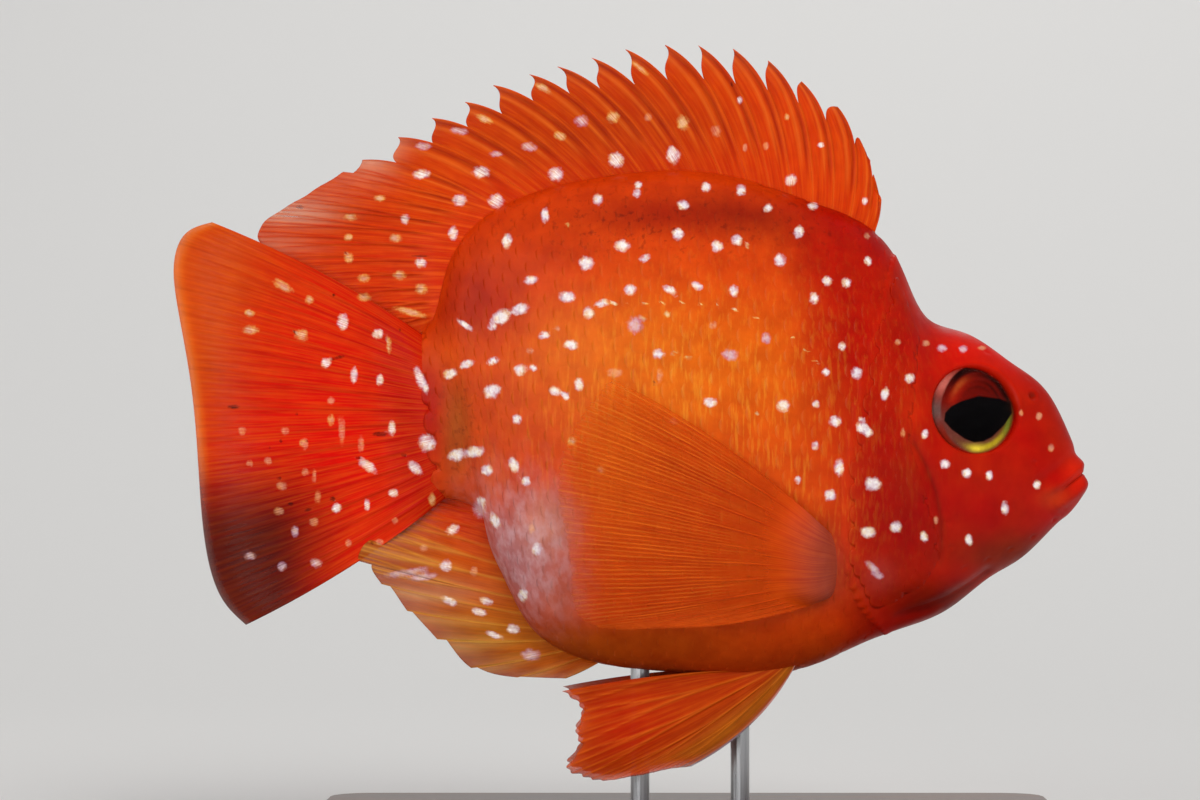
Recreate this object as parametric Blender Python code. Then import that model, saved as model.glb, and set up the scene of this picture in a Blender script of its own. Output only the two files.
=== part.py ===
"""A blood parrot cichlid as a still, life-size model on a plain display stand.

The fish swims head slightly down with its right side towards -Y and its head towards +X.
All lengths are written in millimetres and turned into metres where a mesh is made.
The origin is the centre of the stand's underside, and +Z is up.
"""

from math import cos, exp, hypot, pi, radians, sin

import bmesh
import bpy
import numpy as np
from mathutils import Vector
from mathutils.bvhtree import BVHTree

MM = 0.001
GAP = 0.3  # the gap that two touching pieces keep

# Height of the fish's own zero level, just above the middle of its eye, over the floor.
SWIM_HEIGHT = 49.6

# The body is a row of sections. Each one runs from a point on the back to a point on the
# belly, both as (x, z) from the zero level, and has a half-width.
STATIONS = (
    (41.8, -8.7, 41.8, -8.7, 0.0),
    (41.4, -6.8, 41.7, -9.8, 1.5),
    (40.5, -4.3, 40.4, -11.8, 2.7),
    (38.4, 0.1, 39.0, -13.0, 3.9),
    (34.2, 3.9, 35.3, -16.6, 5.8),
    (29.5, 7.0, 31.6, -18.9, 7.4),
    (25.3, 8.6, 27.6, -22.0, 8.6),
    (22.4, 14.0, 22.8, -24.1, 9.4),
    (18.6, 18.6, 18.0, -25.9, 10.1),
    (13.3, 20.9, 13.3, -28.0, 10.6),
    (6.3, 23.3, 6.4, -29.3, 10.7),
    (-1.9, 24.4, -1.1, -28.9, 10.2),
    (-9.5, 23.7, -7.4, -28.3, 9.2),
    (-15.9, 22.3, -13.3, -26.7, 7.8),
    (-20.1, 20.6, -17.0, -23.9, 6.5),
    (-23.3, 18.2, -19.6, -19.1, 5.3),
    (-25.8, 14.1, -21.4, -14.8, 4.3),
    (-27.3, 8.7, -22.9, -11.3, 3.4),
    (-28.8, 6.7, -26.3, -10.4, 2.5),
)
STALK_STATION = 17  # the tail stalk starts here
WIDEST = 0.47  # how far up from belly to back a section is widest
BACK_FULLNESS = 1.95  # 2 is an ellipse, more is squarer
BELLY_FULLNESS = 2.15
RING = 48  # points round a section

# Rear edge of the gill cover, where the head ends, as (x, z) from the nape to the throat.
GILL_EDGE = (
    (21.5, 15.4), (18.9, 7.4), (17.0, 0.0), (15.7, -7.4),
    (15.5, -13.8), (16.2, -18.0), (18.2, -22.3), (20.7, -24.8),
)

# The mouth runs back and down from the front of the snout to its corner.
MOUTH_FRONT = (42.2, -7.3)
MOUTH_CORNER = (37.9, -10.4)
MOUTH_DEPTH = 1.2
MOUTH_OPENING = 0.36
MOUTH_MIDDLE = 0.7  # from the corner forward to the middle of the mouth's arc
UPPER_LIP = (0.9, 0.62, 0.36)  # distance from the mouth line, width and height
LOWER_LIP = (-1.0, 0.70, 0.40)
LIP_FOLD = (2.2, 0.60, -0.16)
LIP_FADE = (4.4, 6.2)  # how far back from the snout the lips fade out

NOSTRIL_AT = (36.0, 0.5)
NOSTRIL_RADIUS = 0.40
NOSTRIL_DEPTH = 0.8

# Folds of the head: edge of the cheek, and crease over the throat's gill membrane.
CHEEK_FOLD = ((23.2, -4.6), (24.3, -6.7), (25.4, -9.5), (26.0, -12.7), (26.1, -17.0), (26.7, -19.5))
THROAT_FOLD = ((31.4, -18.1), (29.4, -19.5), (27.0, -20.9), (24.7, -21.8), (21.4, -22.6))
FOLD_WIDTH = 0.65
FOLD_DEPTH = 0.30
FOLD_ENDS = (20.5, 23.5, -18.5, -14.5)  # the throat's fades to the rear, the cheek's downward
ORBIT_RIM = (0.1, 0.6, 0.25)  # distance outside the eye, width and height
GILL_FLARE = 0.40
FLARE_LENGTH = 1.8  # the gill cover's raised edge fades forward over this
FLESH_START = 12.0  # behind this the body is plain

# The eye
EYE_AT = (29.8, -0.9)
EYE_RADIUS = 4.9
EYE_FRONT = 2.3  # half-depths of the ball in front of and behind its widest ring
EYE_BACK = 4.0
EYE_PROUD = 1.1

# The fins
MEMBRANE = 0.5
FIN_GAP = 0.45  # between the edges of two fins
TIP_THICK = 0.35
SPINY_MARGIN = ((0.4, 0.87), (0.88, 0.69))
SPINE_BEND = 0.70  # the spines curve back most near their tips
ANAL_MARGIN = ((0.35, 0.98), (0.84, 0.93))
ANAL_SWEEP = 0.20  # how much the anal fin's rays lean to the rear
PECTORAL_LIFT = 0.80  # from the flank to the middle of the pectoral fin
LOBE_AT = 0.11  # share of the pectoral fin's length where its fleshy lobe is thickest
LOBE_LENGTH = 0.09
LOBE_THICK = 1.3
LOBE_RISE = 0.60  # how much more the fin is lifted at the lobe
RISE_LENGTH = 0.12
BLADE_RISE = 0.12  # and behind it
PECTORAL_SPREAD = 0.40  # how far the fin stays straight where the flank curves away
FLANK_WIDEST = 10.6
SPINE_TIPS = ((19.6, 22.4), (18.1, 26.9), (15.5, 31.1), (11.7, 33.8), (8.2, 36.0), (4.5, 37.3),
              (0.8, 37.7), (-2.7, 37.7), (-6.9, 37.2), (-10.5, 36.3), (-14.1, 35.4), (-17.1, 34.6),
              (-20.9, 33.4), (-23.9, 31.6), (-27.4, 29.9), (-31.0, 27.9), (-34.8, 25.5))
DORSAL_SPINES = len(SPINE_TIPS)
DORSAL_RAYS = 11
ANAL_SPINES = 6
ANAL_RAYS = 7
CAUDAL_RAYS = 16
PECTORAL_RAYS = 13
PELVIC_RAYS = 6

# The stand
BASE_LENGTH = 80.0
BASE_WIDTH = 44.0
BASE_HEIGHT = 6.0
BASE_CORNER = 5.0
BASE_BEVEL = 0.8
ROD_RADIUS = 1.0
ROD_PLACES = (("front", 5.3), ("rear", -5.3))
ROD_IN_BODY = 4.0
ROD_IN_BASE = 3.0


def spline(knots, rows):
    """Natural cubic through the rows, as a function of a place along the knots."""
    knots = np.asarray(knots, float)
    rows = np.asarray(rows, float)
    step = np.diff(knots)
    count = len(knots)
    matrix = np.eye(count)
    right = np.zeros_like(rows)
    slope = np.diff(rows, axis=0) / step[:, None]
    for i in range(1, count - 1):
        matrix[i, i - 1:i + 2] = step[i - 1], 2 * (step[i - 1] + step[i]), step[i]
        right[i] = 6 * (slope[i] - slope[i - 1])
    bend = np.linalg.solve(matrix, right)

    def at(place):
        i = int(np.clip(np.searchsorted(knots, place) - 1, 0, count - 2))
        h = step[i]
        a = (knots[i + 1] - place) / h
        b = (place - knots[i]) / h
        cubic = (a ** 3 - a) * bend[i] + (b ** 3 - b) * bend[i + 1]
        return a * rows[i] + b * rows[i + 1] + cubic * h * h / 6

    return at


def by_length(points, rounded=True, samples=200):
    """Line through the points, as a function of the share of its length, 0 to 1."""
    dense = np.asarray(points, float)
    if rounded:
        chord = np.concatenate([[0], np.cumsum(np.hypot(*np.diff(dense, axis=0).T))])
        curve = spline(chord, dense)
        dense = np.array([curve(p) for p in np.linspace(0, chord[-1], samples)])
    run = np.concatenate([[0], np.cumsum(np.hypot(*np.diff(dense, axis=0).T))])
    run /= run[-1]
    return lambda share: np.array([np.interp(share, run, dense[:, k]) for k in (0, 1)])


def smooth(low, high, value):
    """0 below low, 1 above high, with a soft change between."""
    t = min(1.0, max(0.0, (value - low) / (high - low)))
    return t * t * (3 - 2 * t)


# Body

STATION_ROWS = np.array(STATIONS)
HOPS = np.hypot(*np.diff(STATION_ROWS[:, 0:2], axis=0).T)
HOPS = (HOPS + np.hypot(*np.diff(STATION_ROWS[:, 2:4], axis=0).T)) / 2
STATION_PLACES = np.concatenate([[0], np.cumsum(HOPS)])
body_at = spline(STATION_PLACES, STATION_ROWS)
STALK_START = STATION_PLACES[STALK_STATION]
TAIL_END = STATION_PLACES[-1]


def section_point(place, turn):
    """Point of the body: turn 0 is the back, a half turn is the belly, left side first."""
    back_x, back_z, belly_x, belly_z, half_width = body_at(place)
    up, out = cos(turn), sin(turn)
    power = 2 / (BACK_FULLNESS if up > 0 else BELLY_FULLNESS)
    rise = abs(up) ** power
    share = WIDEST + (1 - WIDEST) * rise if up > 0 else WIDEST * (1 - rise)
    y = max(half_width, 0.0) * abs(out) ** power * (1 if out > 0 else -1)
    x = belly_x + (back_x - belly_x) * share
    return Vector((x, y, belly_z + (back_z - belly_z) * share))


gill_curve = spline([-p[1] for p in GILL_EDGE], [[p[0]] for p in GILL_EDGE])


def gill_x(z):
    """Where the gill cover's rear edge is at a height."""
    return float(gill_curve(-z)[0])


def gill_place(turn, ahead):
    """Place along the body where a line of the skin crosses the gill edge, moved forward."""
    low, high = STATION_PLACES[4], STATION_PLACES[10]
    for _ in range(40):
        middle = (low + high) / 2
        point = section_point(middle, turn)
        if point.x > gill_x(point.z) + ahead:
            low = middle
        else:
            high = middle
    return (low + high) / 2


def bump(distance, width, height):
    """A soft ridge, or a groove where height is below 0."""
    return height * exp(-(distance / width) ** 2)


def line_distance(point, line):
    """Distance in the side view from a point to a line of points."""
    best = 1e9
    for (ax, az), (bx, bz) in zip(line, line[1:]):
        run_x, run_z = bx - ax, bz - az
        share = ((point.x - ax) * run_x + (point.z - az) * run_z) / (run_x ** 2 + run_z ** 2)
        share = min(1.0, max(0.0, share))
        best = min(best, hypot(point.x - ax - run_x * share, point.z - az - run_z * share))
    return best


def mouth_place(point):
    """How far back from the front of the mouth a point is, and how far above the mouth line."""
    run_x, run_z = MOUTH_CORNER[0] - MOUTH_FRONT[0], MOUTH_CORNER[1] - MOUTH_FRONT[1]
    length = hypot(run_x, run_z)
    dx, dz = point.x - MOUTH_FRONT[0], point.z - MOUTH_FRONT[1]
    return (dx * run_x + dz * run_z) / length, (dz * -run_x + dx * run_z) / length


def relief(point, flare):
    """How far the skin stands out from the plain section."""
    if point.x < FLESH_START:
        return 0.0
    side = smooth(1.0, 2.5, abs(point.y))
    rim_out, rim_width, rim_height = ORBIT_RIM
    from_eye = hypot(point.x - EYE_AT[0], point.z - EYE_AT[1]) - EYE_RADIUS
    height = bump(from_eye - rim_out, rim_width, rim_height) * side
    rear_end, rear_full, low_end, low_full = FOLD_ENDS
    for fold, share in ((CHEEK_FOLD, smooth(low_end, low_full, point.z)),
                        (THROAT_FOLD, smooth(rear_end, rear_full, point.x))):
        height += bump(line_distance(point, fold), FOLD_WIDTH, -FOLD_DEPTH) * side * share
    back, above = mouth_place(point)
    lips = sum(bump(above - place, width, rise)
               for place, width, rise in (UPPER_LIP, LOWER_LIP, LIP_FOLD))
    height += lips * (1 - smooth(*LIP_FADE, back))
    ahead = point.x - gill_x(point.z)
    if flare and ahead > -0.5:
        height += GILL_FLARE * exp(-max(0.0, ahead) / FLARE_LENGTH) * side
    return height


def skin_point(place, turn, flare=False):
    """Point of the finished skin, with the gill cover's edge raised where flare is set."""
    step = 0.01
    point = section_point(place, turn)
    normal = (section_point(place + step, turn) - point).cross(section_point(place, turn + step) - point)
    normal.normalize()
    back_x, back_z, belly_x, belly_z, _ = body_at(place)
    if normal.dot(point - Vector(((back_x + belly_x) / 2, 0, (back_z + belly_z) / 2))) < 0:
        normal.negate()
    return point + normal * relief(point, flare)


def dense_body(stations=150, ring=96):
    """A fine surface of the whole body, to measure on."""
    points = [skin_point(TAIL_END * (i + 0.02) / stations, 2 * pi * k / ring)
              for i in range(stations + 1) for k in range(ring)]
    faces = [(i * ring + k, i * ring + (k + 1) % ring,
              (i + 1) * ring + (k + 1) % ring, (i + 1) * ring + k)
             for i in range(stations) for k in range(ring)]
    return BVHTree.FromPolygons(points, faces)


def flank_y(x, z):
    """Half-width of the body at a place of the side view."""
    hit = BODY.ray_cast(Vector((x, 60.0, z)), Vector((0, -1, 0)))[0]
    return hit.y if hit else 0.0


def belly_z(x, y):
    """Height of the body's underside."""
    return BODY.ray_cast(Vector((x, y, -80.0)), Vector((0, 0, 1)))[0].z


def add_object(name, points, faces, material):
    """Makes a node from points in millimetres over the fish's zero level."""
    mesh = bpy.data.meshes.new(name)
    mesh.from_pydata([(p[0] * MM, p[1] * MM, (p[2] + SWIM_HEIGHT) * MM) for p in points], [], faces)
    mesh.validate()
    shaped = bmesh.new()
    shaped.from_mesh(mesh)
    bmesh.ops.triangulate(shaped, faces=[f for f in shaped.faces if len(f.verts) > 4])
    bmesh.ops.recalc_face_normals(shaped, faces=shaped.faces)
    shaped.to_mesh(mesh)
    shaped.free()
    made = bpy.data.objects.new(name, mesh)
    bpy.context.scene.collection.objects.link(made)
    if material:
        mesh.materials.append(material)
        mesh.shade_smooth()
        mesh.set_sharp_from_angle(angle=radians(40))
    return made


def paint(name, colour, roughness, metallic=0.0):
    """A plain material."""
    material = bpy.data.materials.new(name)
    material.use_nodes = True
    shader = material.node_tree.nodes["Principled BSDF"]
    shader.inputs["Base Color"].default_value = (*colour, 1)
    shader.inputs["Roughness"].default_value = roughness
    shader.inputs["Metallic"].default_value = metallic
    return material


def keep_largest(mesh):
    """Leaves only the largest closed surface of a mesh."""
    shaped = bmesh.new()
    shaped.from_mesh(mesh)
    unseen = set(shaped.verts)
    islands = []
    while unseen:
        island, edge = set(), [unseen.pop()]
        while edge:
            vertex = edge.pop()
            island.add(vertex)
            for link in vertex.link_edges:
                other = link.other_vert(vertex)
                if other in unseen:
                    unseen.remove(other)
                    edge.append(other)
        islands.append(island)
    islands.sort(key=len)
    loose = [v for island in islands[:-1] for v in island]
    bmesh.ops.delete(shaped, geom=loose, context="VERTS")
    shaped.to_mesh(mesh)
    shaped.free()


def cut(target, cutters):
    """Takes the cutters out of a node and removes them."""
    for cutter in cutters:
        boolean = target.modifiers.new("cut", "BOOLEAN")
        boolean.operation = "DIFFERENCE"
        boolean.solver = "EXACT"
        boolean.object = cutter
        graph = bpy.context.evaluated_depsgraph_get()
        graph.update()
        result = bpy.data.meshes.new_from_object(target.evaluated_get(graph))
        target.modifiers.clear()
        target.data = result
        bpy.data.objects.remove(cutter)
    keep_largest(target.data)


def body_piece(name, front_place, rear_place, rows, crowd, material, flare=False):
    """A length of the body between two places that may depend on the turn."""
    turns = [2 * pi * k / RING for k in range(RING)]
    starts = [front_place(t) for t in turns]
    ends = [rear_place(t) for t in turns]
    points, faces = [], []
    for i in range(rows + 1):
        share = (i / rows) ** crowd
        for start, end, turn in zip(starts, ends, turns):
            points.append(skin_point(start + (end - start) * share, turn, flare))
    for i in range(rows):
        for k in range(RING):
            n = (k + 1) % RING
            faces.append((i * RING + k, i * RING + n, (i + 1) * RING + n, (i + 1) * RING + k))
    for first in (0, rows * RING):
        for k in range(RING // 2):
            corners = [first + k, first + k + 1, first + (RING - k - 1) % RING, first + (RING - k) % RING]
            faces.append(tuple(dict.fromkeys(corners)))
    return add_object(name, points, faces, material)


# Fins

def fin(name, rays, columns, rows, across, thickness, material, shoulder=0.9):
    """A plate spanned by rays, with its rays as ridges, split into triangles alike on both faces.

    A ray is (root, bend, tip) in the side view. Columns gives, for the space behind a ray, the
    lines of membrane there as (share of the way to the next ray, reach of the margin). Across
    gives the mid-surface's y at (x, z, u). The last row runs from the shoulder to the margin.
    """
    lines = []
    for i, ray in enumerate(rays):
        lines.append((*ray, 1.0, 1.0))
        if i + 1 < len(rays):
            for share, reach in columns(i):
                mixed = [a + (b - a) * share for a, b in zip(ray, rays[i + 1])]
                lines.append((*mixed, reach, 0.0))
    middle, half = [], []
    for j, (root, bend, tip, reach, is_ray) in enumerate(lines):
        for i in range(rows + 1):
            u = i / (rows - 1) * shoulder if i < rows else reach
            x, z = root * (1 - u) ** 2 + 2 * bend * u * (1 - u) + tip * u ** 2
            middle.append(Vector((x, across(x, z, u), z)))
            half.append(thickness(u, j / (len(lines) - 1), is_ray) / 2)
    wide, count = rows + 1, len(lines)
    points = [[], []]
    facing = None
    for j in range(count):
        for i in range(wide):
            left, right = max(j - 1, 0) * wide + i, min(j + 1, count - 1) * wide + i
            below, above = j * wide + max(i - 1, 0), j * wide + min(i + 1, rows)
            normal = (middle[right] - middle[left]).cross(middle[above] - middle[below])
            normal.normalize()
            facing = facing or normal
            if normal.dot(facing) < 0:
                normal.negate()
            here = j * wide + i
            points[0].append(middle[here] + normal * half[here])
            points[1].append(middle[here] - normal * half[here])
    total = count * wide
    faces = []
    for j in range(count - 1):
        for i in range(rows):
            a, b = j * wide + i, (j + 1) * wide + i
            for triangle in ((a, b, b + 1), (a, b + 1, a + 1)):
                faces.append(triangle)
                faces.append(tuple(v + total for v in reversed(triangle)))
    rim = [j * wide for j in range(count)]
    rim += [(count - 1) * wide + i for i in range(1, wide)]
    rim += [j * wide + rows for j in range(count - 2, -1, -1)]
    rim += [i for i in range(rows - 1, 0, -1)]
    for a, b in zip(rim, rim[1:] + rim[:1]):
        faces.append((a, a + total, b + total))
        faces.append((a, b + total, b))
    return add_object(name, points[0] + points[1], faces, material)


def fan(root, tip, count, bow, root_share=lambda t: t, bend_at=0.5):
    """Evenly spread rays between a root line and a line of tips, bowed to one side.

    Bend_at is the share of its length at which a ray is pulled aside.
    """
    rays = []
    for k in range(count):
        t = k / (count - 1)
        start, end = root(root_share(t)), tip(t)
        run = end - start
        side = np.array([-run[1], run[0]])
        rays.append((start, start + run * bend_at + side * bow(t), end))
    return rays


def body_line(first, last, belly, gap):
    """Curve just off the back or belly between two places, by share of its length."""
    column = 2 if belly else 0
    line = np.array([body_at(p)[column:column + 2] for p in np.linspace(0, TAIL_END, 800)])
    start = int(np.argmin(np.hypot(*(line - first).T)))
    end = int(np.argmin(np.hypot(*(line - last).T)))
    line = line[start:end + 1]
    run = np.gradient(line, axis=0)
    normal = np.stack([-run[:, 1], run[:, 0]], 1)
    normal /= np.hypot(*normal.T)[:, None]
    line = line + normal * gap * (1 if belly else -1)
    length = np.concatenate([[0], np.cumsum(np.hypot(*np.diff(line, axis=0).T))])
    length /= length[-1]
    return lambda share: np.array([np.interp(share, length, line[:, k]) for k in (0, 1)])


def beside(ray, shares, gap):
    """Points that keep a gap to one side of a ray."""
    root, bend, tip = ray
    points = []
    for u in shares:
        run = 2 * (1 - u) * (bend - root) + 2 * u * (tip - bend)
        side = np.array([run[1], -run[0]]) / np.hypot(*run)
        points.append(root * (1 - u) ** 2 + 2 * bend * u * (1 - u) + tip * u ** 2 + side * gap)
    return points


def ridged(root_thick, reach, ridge):
    """Thickness of a fin: thick at the root, thin between the rays, which taper to their tips."""
    def at(u, v, ray):
        blade = MEMBRANE + ridge * ray * (1 - 0.5 * u)
        if ray and u == 1:
            blade = TIP_THICK
        return max(blade, root_thick + (MEMBRANE - root_thick) * smooth(0, reach, u))
    return at


def caudal_rays():
    """Rays of the tail fin, from the end of the tail stalk to the margin, top one first."""
    back_x, back_z, belly_x, belly_z, _ = body_at(TAIL_END)
    top, bottom = np.array((back_x, back_z)), np.array((belly_x, belly_z))
    run = (bottom - top) / np.hypot(*(bottom - top))
    away = np.array((run[1], -run[0])) * GAP
    margin = by_length(((-50.8, 18.9), (-53.2, 18.1), (-54.6, 16.0), (-54.9, 13.2), (-54.3, 9.0),
                        (-53.4, 4.0), (-52.6, -3.0), (-52.0, -10.6), (-51.0, -18.0), (-49.6, -21.4),
                        (-47.2, -23.9)))
    inset = 0.3 * run
    return fan(lambda t: top + inset + away + (bottom - top - 2 * inset) * t, margin, CAUDAL_RAYS,
               lambda t: 0.06 * (2 * t - 1))


def upright(x, z, u):
    """Mid-surface of a fin that stands on the middle of the body."""
    return 0.0


def dorsal_fin(material):
    """Spiny part with 17 spines, then a soft part of 11 rays that ends above the tail fin."""
    def spine_tip(t):
        return np.array(SPINE_TIPS[round(t * (DORSAL_SPINES - 1))])

    lower_edge = beside(caudal_rays()[0], np.linspace(0.66, 0.03, 9), FIN_GAP)
    soft_tips = by_length([(-36.9, 24.2), (-40.9, 21.7), (-44.6, 19.5), (-46.8, 17.9), *lower_edge], False)
    spiny_root = body_line((19.9, 17.7), (-19.8, 20.7), False, GAP)
    soft_root = body_line((-20.4, 20.4), (-27.5, 8.1), False, GAP)
    rays = fan(spiny_root, spine_tip, DORSAL_SPINES, lambda t: -0.26 + 0.12 * t, lambda t: t ** 1.25,
               SPINE_BEND)
    rays += fan(soft_root, soft_tips, DORSAL_RAYS, lambda t: -0.03)

    def columns(i):
        if i < DORSAL_SPINES - 1:
            return SPINY_MARGIN
        return ((0.5, 0.985),)

    return fin("dorsal_fin", rays, columns, 6, upright,
               ridged(root_thick=1.6, reach=0.25, ridge=0.45), material, shoulder=0.76)


def anal_fin(material):
    """Folded back under the tail stalk, with 6 spines and then 7 soft rays."""
    root = body_line((-9.1, -28.5), (-23.0, -11.2), True, GAP)
    upper_edge = beside(caudal_rays()[-1], np.linspace(0.45, 0.03, 6), -FIN_GAP)
    tips = by_length([(-13.2, -29.5), (-19.2, -29.4), (-23.6, -28.3), (-29.2, -23.2), *upper_edge], False)
    rays = fan(root, lambda t: tips(t + ANAL_SWEEP * sin(pi * t)), ANAL_SPINES + ANAL_RAYS,
               lambda t: 0.05 * (1 - t))

    def columns(i):
        return ANAL_MARGIN if i < ANAL_SPINES else ((0.5, 0.985),)

    return fin("anal_fin", rays, columns, 5, upright,
               ridged(root_thick=1.4, reach=0.25, ridge=0.45), material, shoulder=0.85)


def caudal_fin(material):
    """Broad tail fin, set on the end of the tail stalk."""
    half_width = body_at(TAIL_END)[4]
    blade = ridged(MEMBRANE, reach=0.25, ridge=0.45)

    def thickness(u, v, ray):
        stalk = 1.8 * half_width * (1 - abs(2 * v - 1) ** 2) ** 0.5
        fleshy = 1 - smooth(0, 0.22, u)
        return max(MEMBRANE, stalk) * fleshy + blade(u, v, ray) * (1 - fleshy)

    return fin("caudal_fin", caudal_rays(), lambda i: ((0.5, 0.99),), 7, upright, thickness, material)


def pectoral_fin(side, material):
    """A round fin that lies back over the flank, on a fleshy lobe behind the gill cover."""
    root = by_length(((15.1, -14.6), (15.5, -17.3), (14.9, -20.3)))
    tips = by_length(((-8.4, 2.3), (-12.3, -2.9), (-14.0, -9.2), (-13.4, -13.0), (-12.7, -17.4),
                      (-11.6, -22.8), (-6.1, -23.9), (1.1, -23.6)))
    rays = fan(root, tips, PECTORAL_RAYS, lambda t: -0.08 + 0.16 * t)
    blade = ridged(MEMBRANE, reach=0.3, ridge=0.45)

    def thickness(u, v, ray):
        lobe = exp(-((u - LOBE_AT) / LOBE_LENGTH) ** 2) * (1 - abs(2 * v - 1) ** 4)
        return max(MEMBRANE + LOBE_THICK * lobe, blade(u, v, ray) * smooth(0.1, 0.3, u))

    def across(x, z, u):
        wall = flank_y(x, z)
        lift = PECTORAL_LIFT + LOBE_RISE * exp(-((u - LOBE_AT) / RISE_LENGTH) ** 2)
        lift += BLADE_RISE * smooth(0.1, 0.3, u)
        return side * (wall + lift + PECTORAL_SPREAD * smooth(0.1, 1, u) * (FLANK_WIDEST - wall))

    name = "pectoral_fin_left" if side > 0 else "pectoral_fin_right"
    return fin(name, rays, lambda i: ((0.5, 0.985),), 9, across, thickness, material)


def pelvic_fin(side, material):
    """A spine and 5 rays that hang from the belly and trail back beside the rods."""
    root_y = 2.4
    front, rear = 11.1, 7.9
    roots = [np.array((x, belly_z(x, root_y - 0.8) - GAP)) for x in (front, (front + rear) / 2, rear)]
    tips = by_length(((0.0, -38.5), (-7.0, -39.7), (-13.0, -39.5), (-13.0, -36.4), (-12.0, -33.3),
                      (-13.9, -30.7)))
    rays = fan(by_length(roots), tips, PELVIC_RAYS, lambda t: 0.16 - 0.21 * t)
    name = "pelvic_fin_left" if side > 0 else "pelvic_fin_right"
    return fin(name, rays, lambda i: ((0.25, 0.97), (0.6, 0.94)), 7,
               lambda x, z, u: side * (root_y + 1.4 * u),
               ridged(root_thick=1.5, reach=0.2, ridge=0.40), material, shoulder=0.88)


# Eyes

def eye_frame(side):
    """Centre of an eye and the axes of its disc, which faces as the skin round it does."""
    x, z = EYE_AT
    outward = Vector()
    for k in range(12):
        turn = 2 * pi * k / 12
        place = Vector((x + EYE_RADIUS * cos(turn), side * 60, z + EYE_RADIUS * sin(turn)))
        normal = BODY.ray_cast(place, Vector((0, -side, 0)))[1]
        outward += normal if normal.y * side > 0 else -normal
    outward.normalize()
    surface = Vector((x, side * flank_y(x, z), z))
    centre = surface + outward * (EYE_PROUD - EYE_FRONT)
    across = Vector((0, 0, 1)).cross(outward).normalized()
    return centre, across, outward.cross(across), outward


def eye_ball(name, side, grow, material, steps=20, rings=10):
    """An eyeball, flatter in front than behind."""
    centre, across, up, outward = eye_frame(side)
    points = []
    for j in range(1, rings):
        tilt = pi * j / rings
        depth = (EYE_FRONT if cos(tilt) > 0 else EYE_BACK) + grow
        for k in range(steps):
            turn = 2 * pi * k / steps
            flat = (across * cos(turn) + up * sin(turn)) * (EYE_RADIUS + grow) * sin(tilt)
            points.append(centre + flat + outward * depth * cos(tilt))
    points.append(centre + outward * (EYE_FRONT + grow))
    points.append(centre - outward * (EYE_BACK + grow))
    faces = [(j * steps + k, j * steps + (k + 1) % steps, (j + 1) * steps + (k + 1) % steps,
              (j + 1) * steps + k) for j in range(rings - 2) for k in range(steps)]
    last = (rings - 2) * steps
    for k in range(steps):
        faces.append((len(points) - 2, (k + 1) % steps, k))
        faces.append((len(points) - 1, last + k, last + (k + 1) % steps))
    return add_object(name, points, faces, material)


# Mouth and nostrils

def mouth_cutter(steps=24, sweep=radians(104)):
    """A thin ring plate that parts the lips from one corner of the mouth to the other."""
    front = Vector((MOUTH_FRONT[0], 0, MOUTH_FRONT[1]))
    corner = Vector((MOUTH_CORNER[0], 0, MOUTH_CORNER[1]))
    forward = (front - corner).normalized()
    above = Vector((-forward.z, 0, forward.x)) * MOUTH_OPENING / 2
    centre = corner + forward * MOUTH_MIDDLE
    points = []
    for k in range(steps + 1):
        share = 2 * k / steps - 1
        out = forward * cos(sweep * share) + Vector((0, sin(sweep * share), 0))
        radius = (BODY.ray_cast(centre + out * 20, -out)[0] - centre).length
        depth = MOUTH_DEPTH * (1 - abs(share) ** 5) + 0.05
        for reach in (radius - depth, radius + 1.0):
            points += [centre + out * reach + above, centre + out * reach - above]
    faces = []
    for k in range(steps):
        for a, b in ((0, 1), (1, 3), (3, 2), (2, 0)):
            faces.append((4 * k + a, 4 * k + b, 4 * k + 4 + b, 4 * k + 4 + a))
    faces += [(0, 2, 3, 1), (4 * steps, 4 * steps + 1, 4 * steps + 3, 4 * steps + 2)]
    return add_object("mouth_line", points, faces, None)


def nostril_cutter(side, steps=8):
    """A short round pit on one side of the snout."""
    x, z = NOSTRIL_AT
    place, normal, _, _ = BODY.ray_cast(Vector((x, side * 60, z)), Vector((0, -side, 0)))
    if normal.y * side < 0:
        normal.negate()
    across = normal.orthogonal().normalized()
    up = normal.cross(across)
    points = []
    for depth in (-NOSTRIL_DEPTH, 0.6):
        for k in range(steps):
            turn = 2 * pi * k / steps
            points.append(place + normal * depth + (across * cos(turn) + up * sin(turn)) * NOSTRIL_RADIUS)
    faces = [(k, (k + 1) % steps, (k + 1) % steps + steps, k + steps) for k in range(steps)]
    faces.append(tuple(range(steps - 1, -1, -1)))
    faces.append(tuple(range(steps, 2 * steps)))
    return add_object("nostril", points, faces, None)


# Stand

def rod_shape(name, x, radius, low, high, material, steps=16):
    """An upright round rod, from one height to another over the floor."""
    points = [(x + radius * cos(2 * pi * k / steps), radius * sin(2 * pi * k / steps), z - SWIM_HEIGHT)
              for z in (low, high) for k in range(steps)]
    faces = [(k, (k + 1) % steps, (k + 1) % steps + steps, k + steps) for k in range(steps)]
    faces.append(tuple(range(steps - 1, -1, -1)))
    faces.append(tuple(range(steps, 2 * steps)))
    return add_object(name, points, faces, material)


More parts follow.
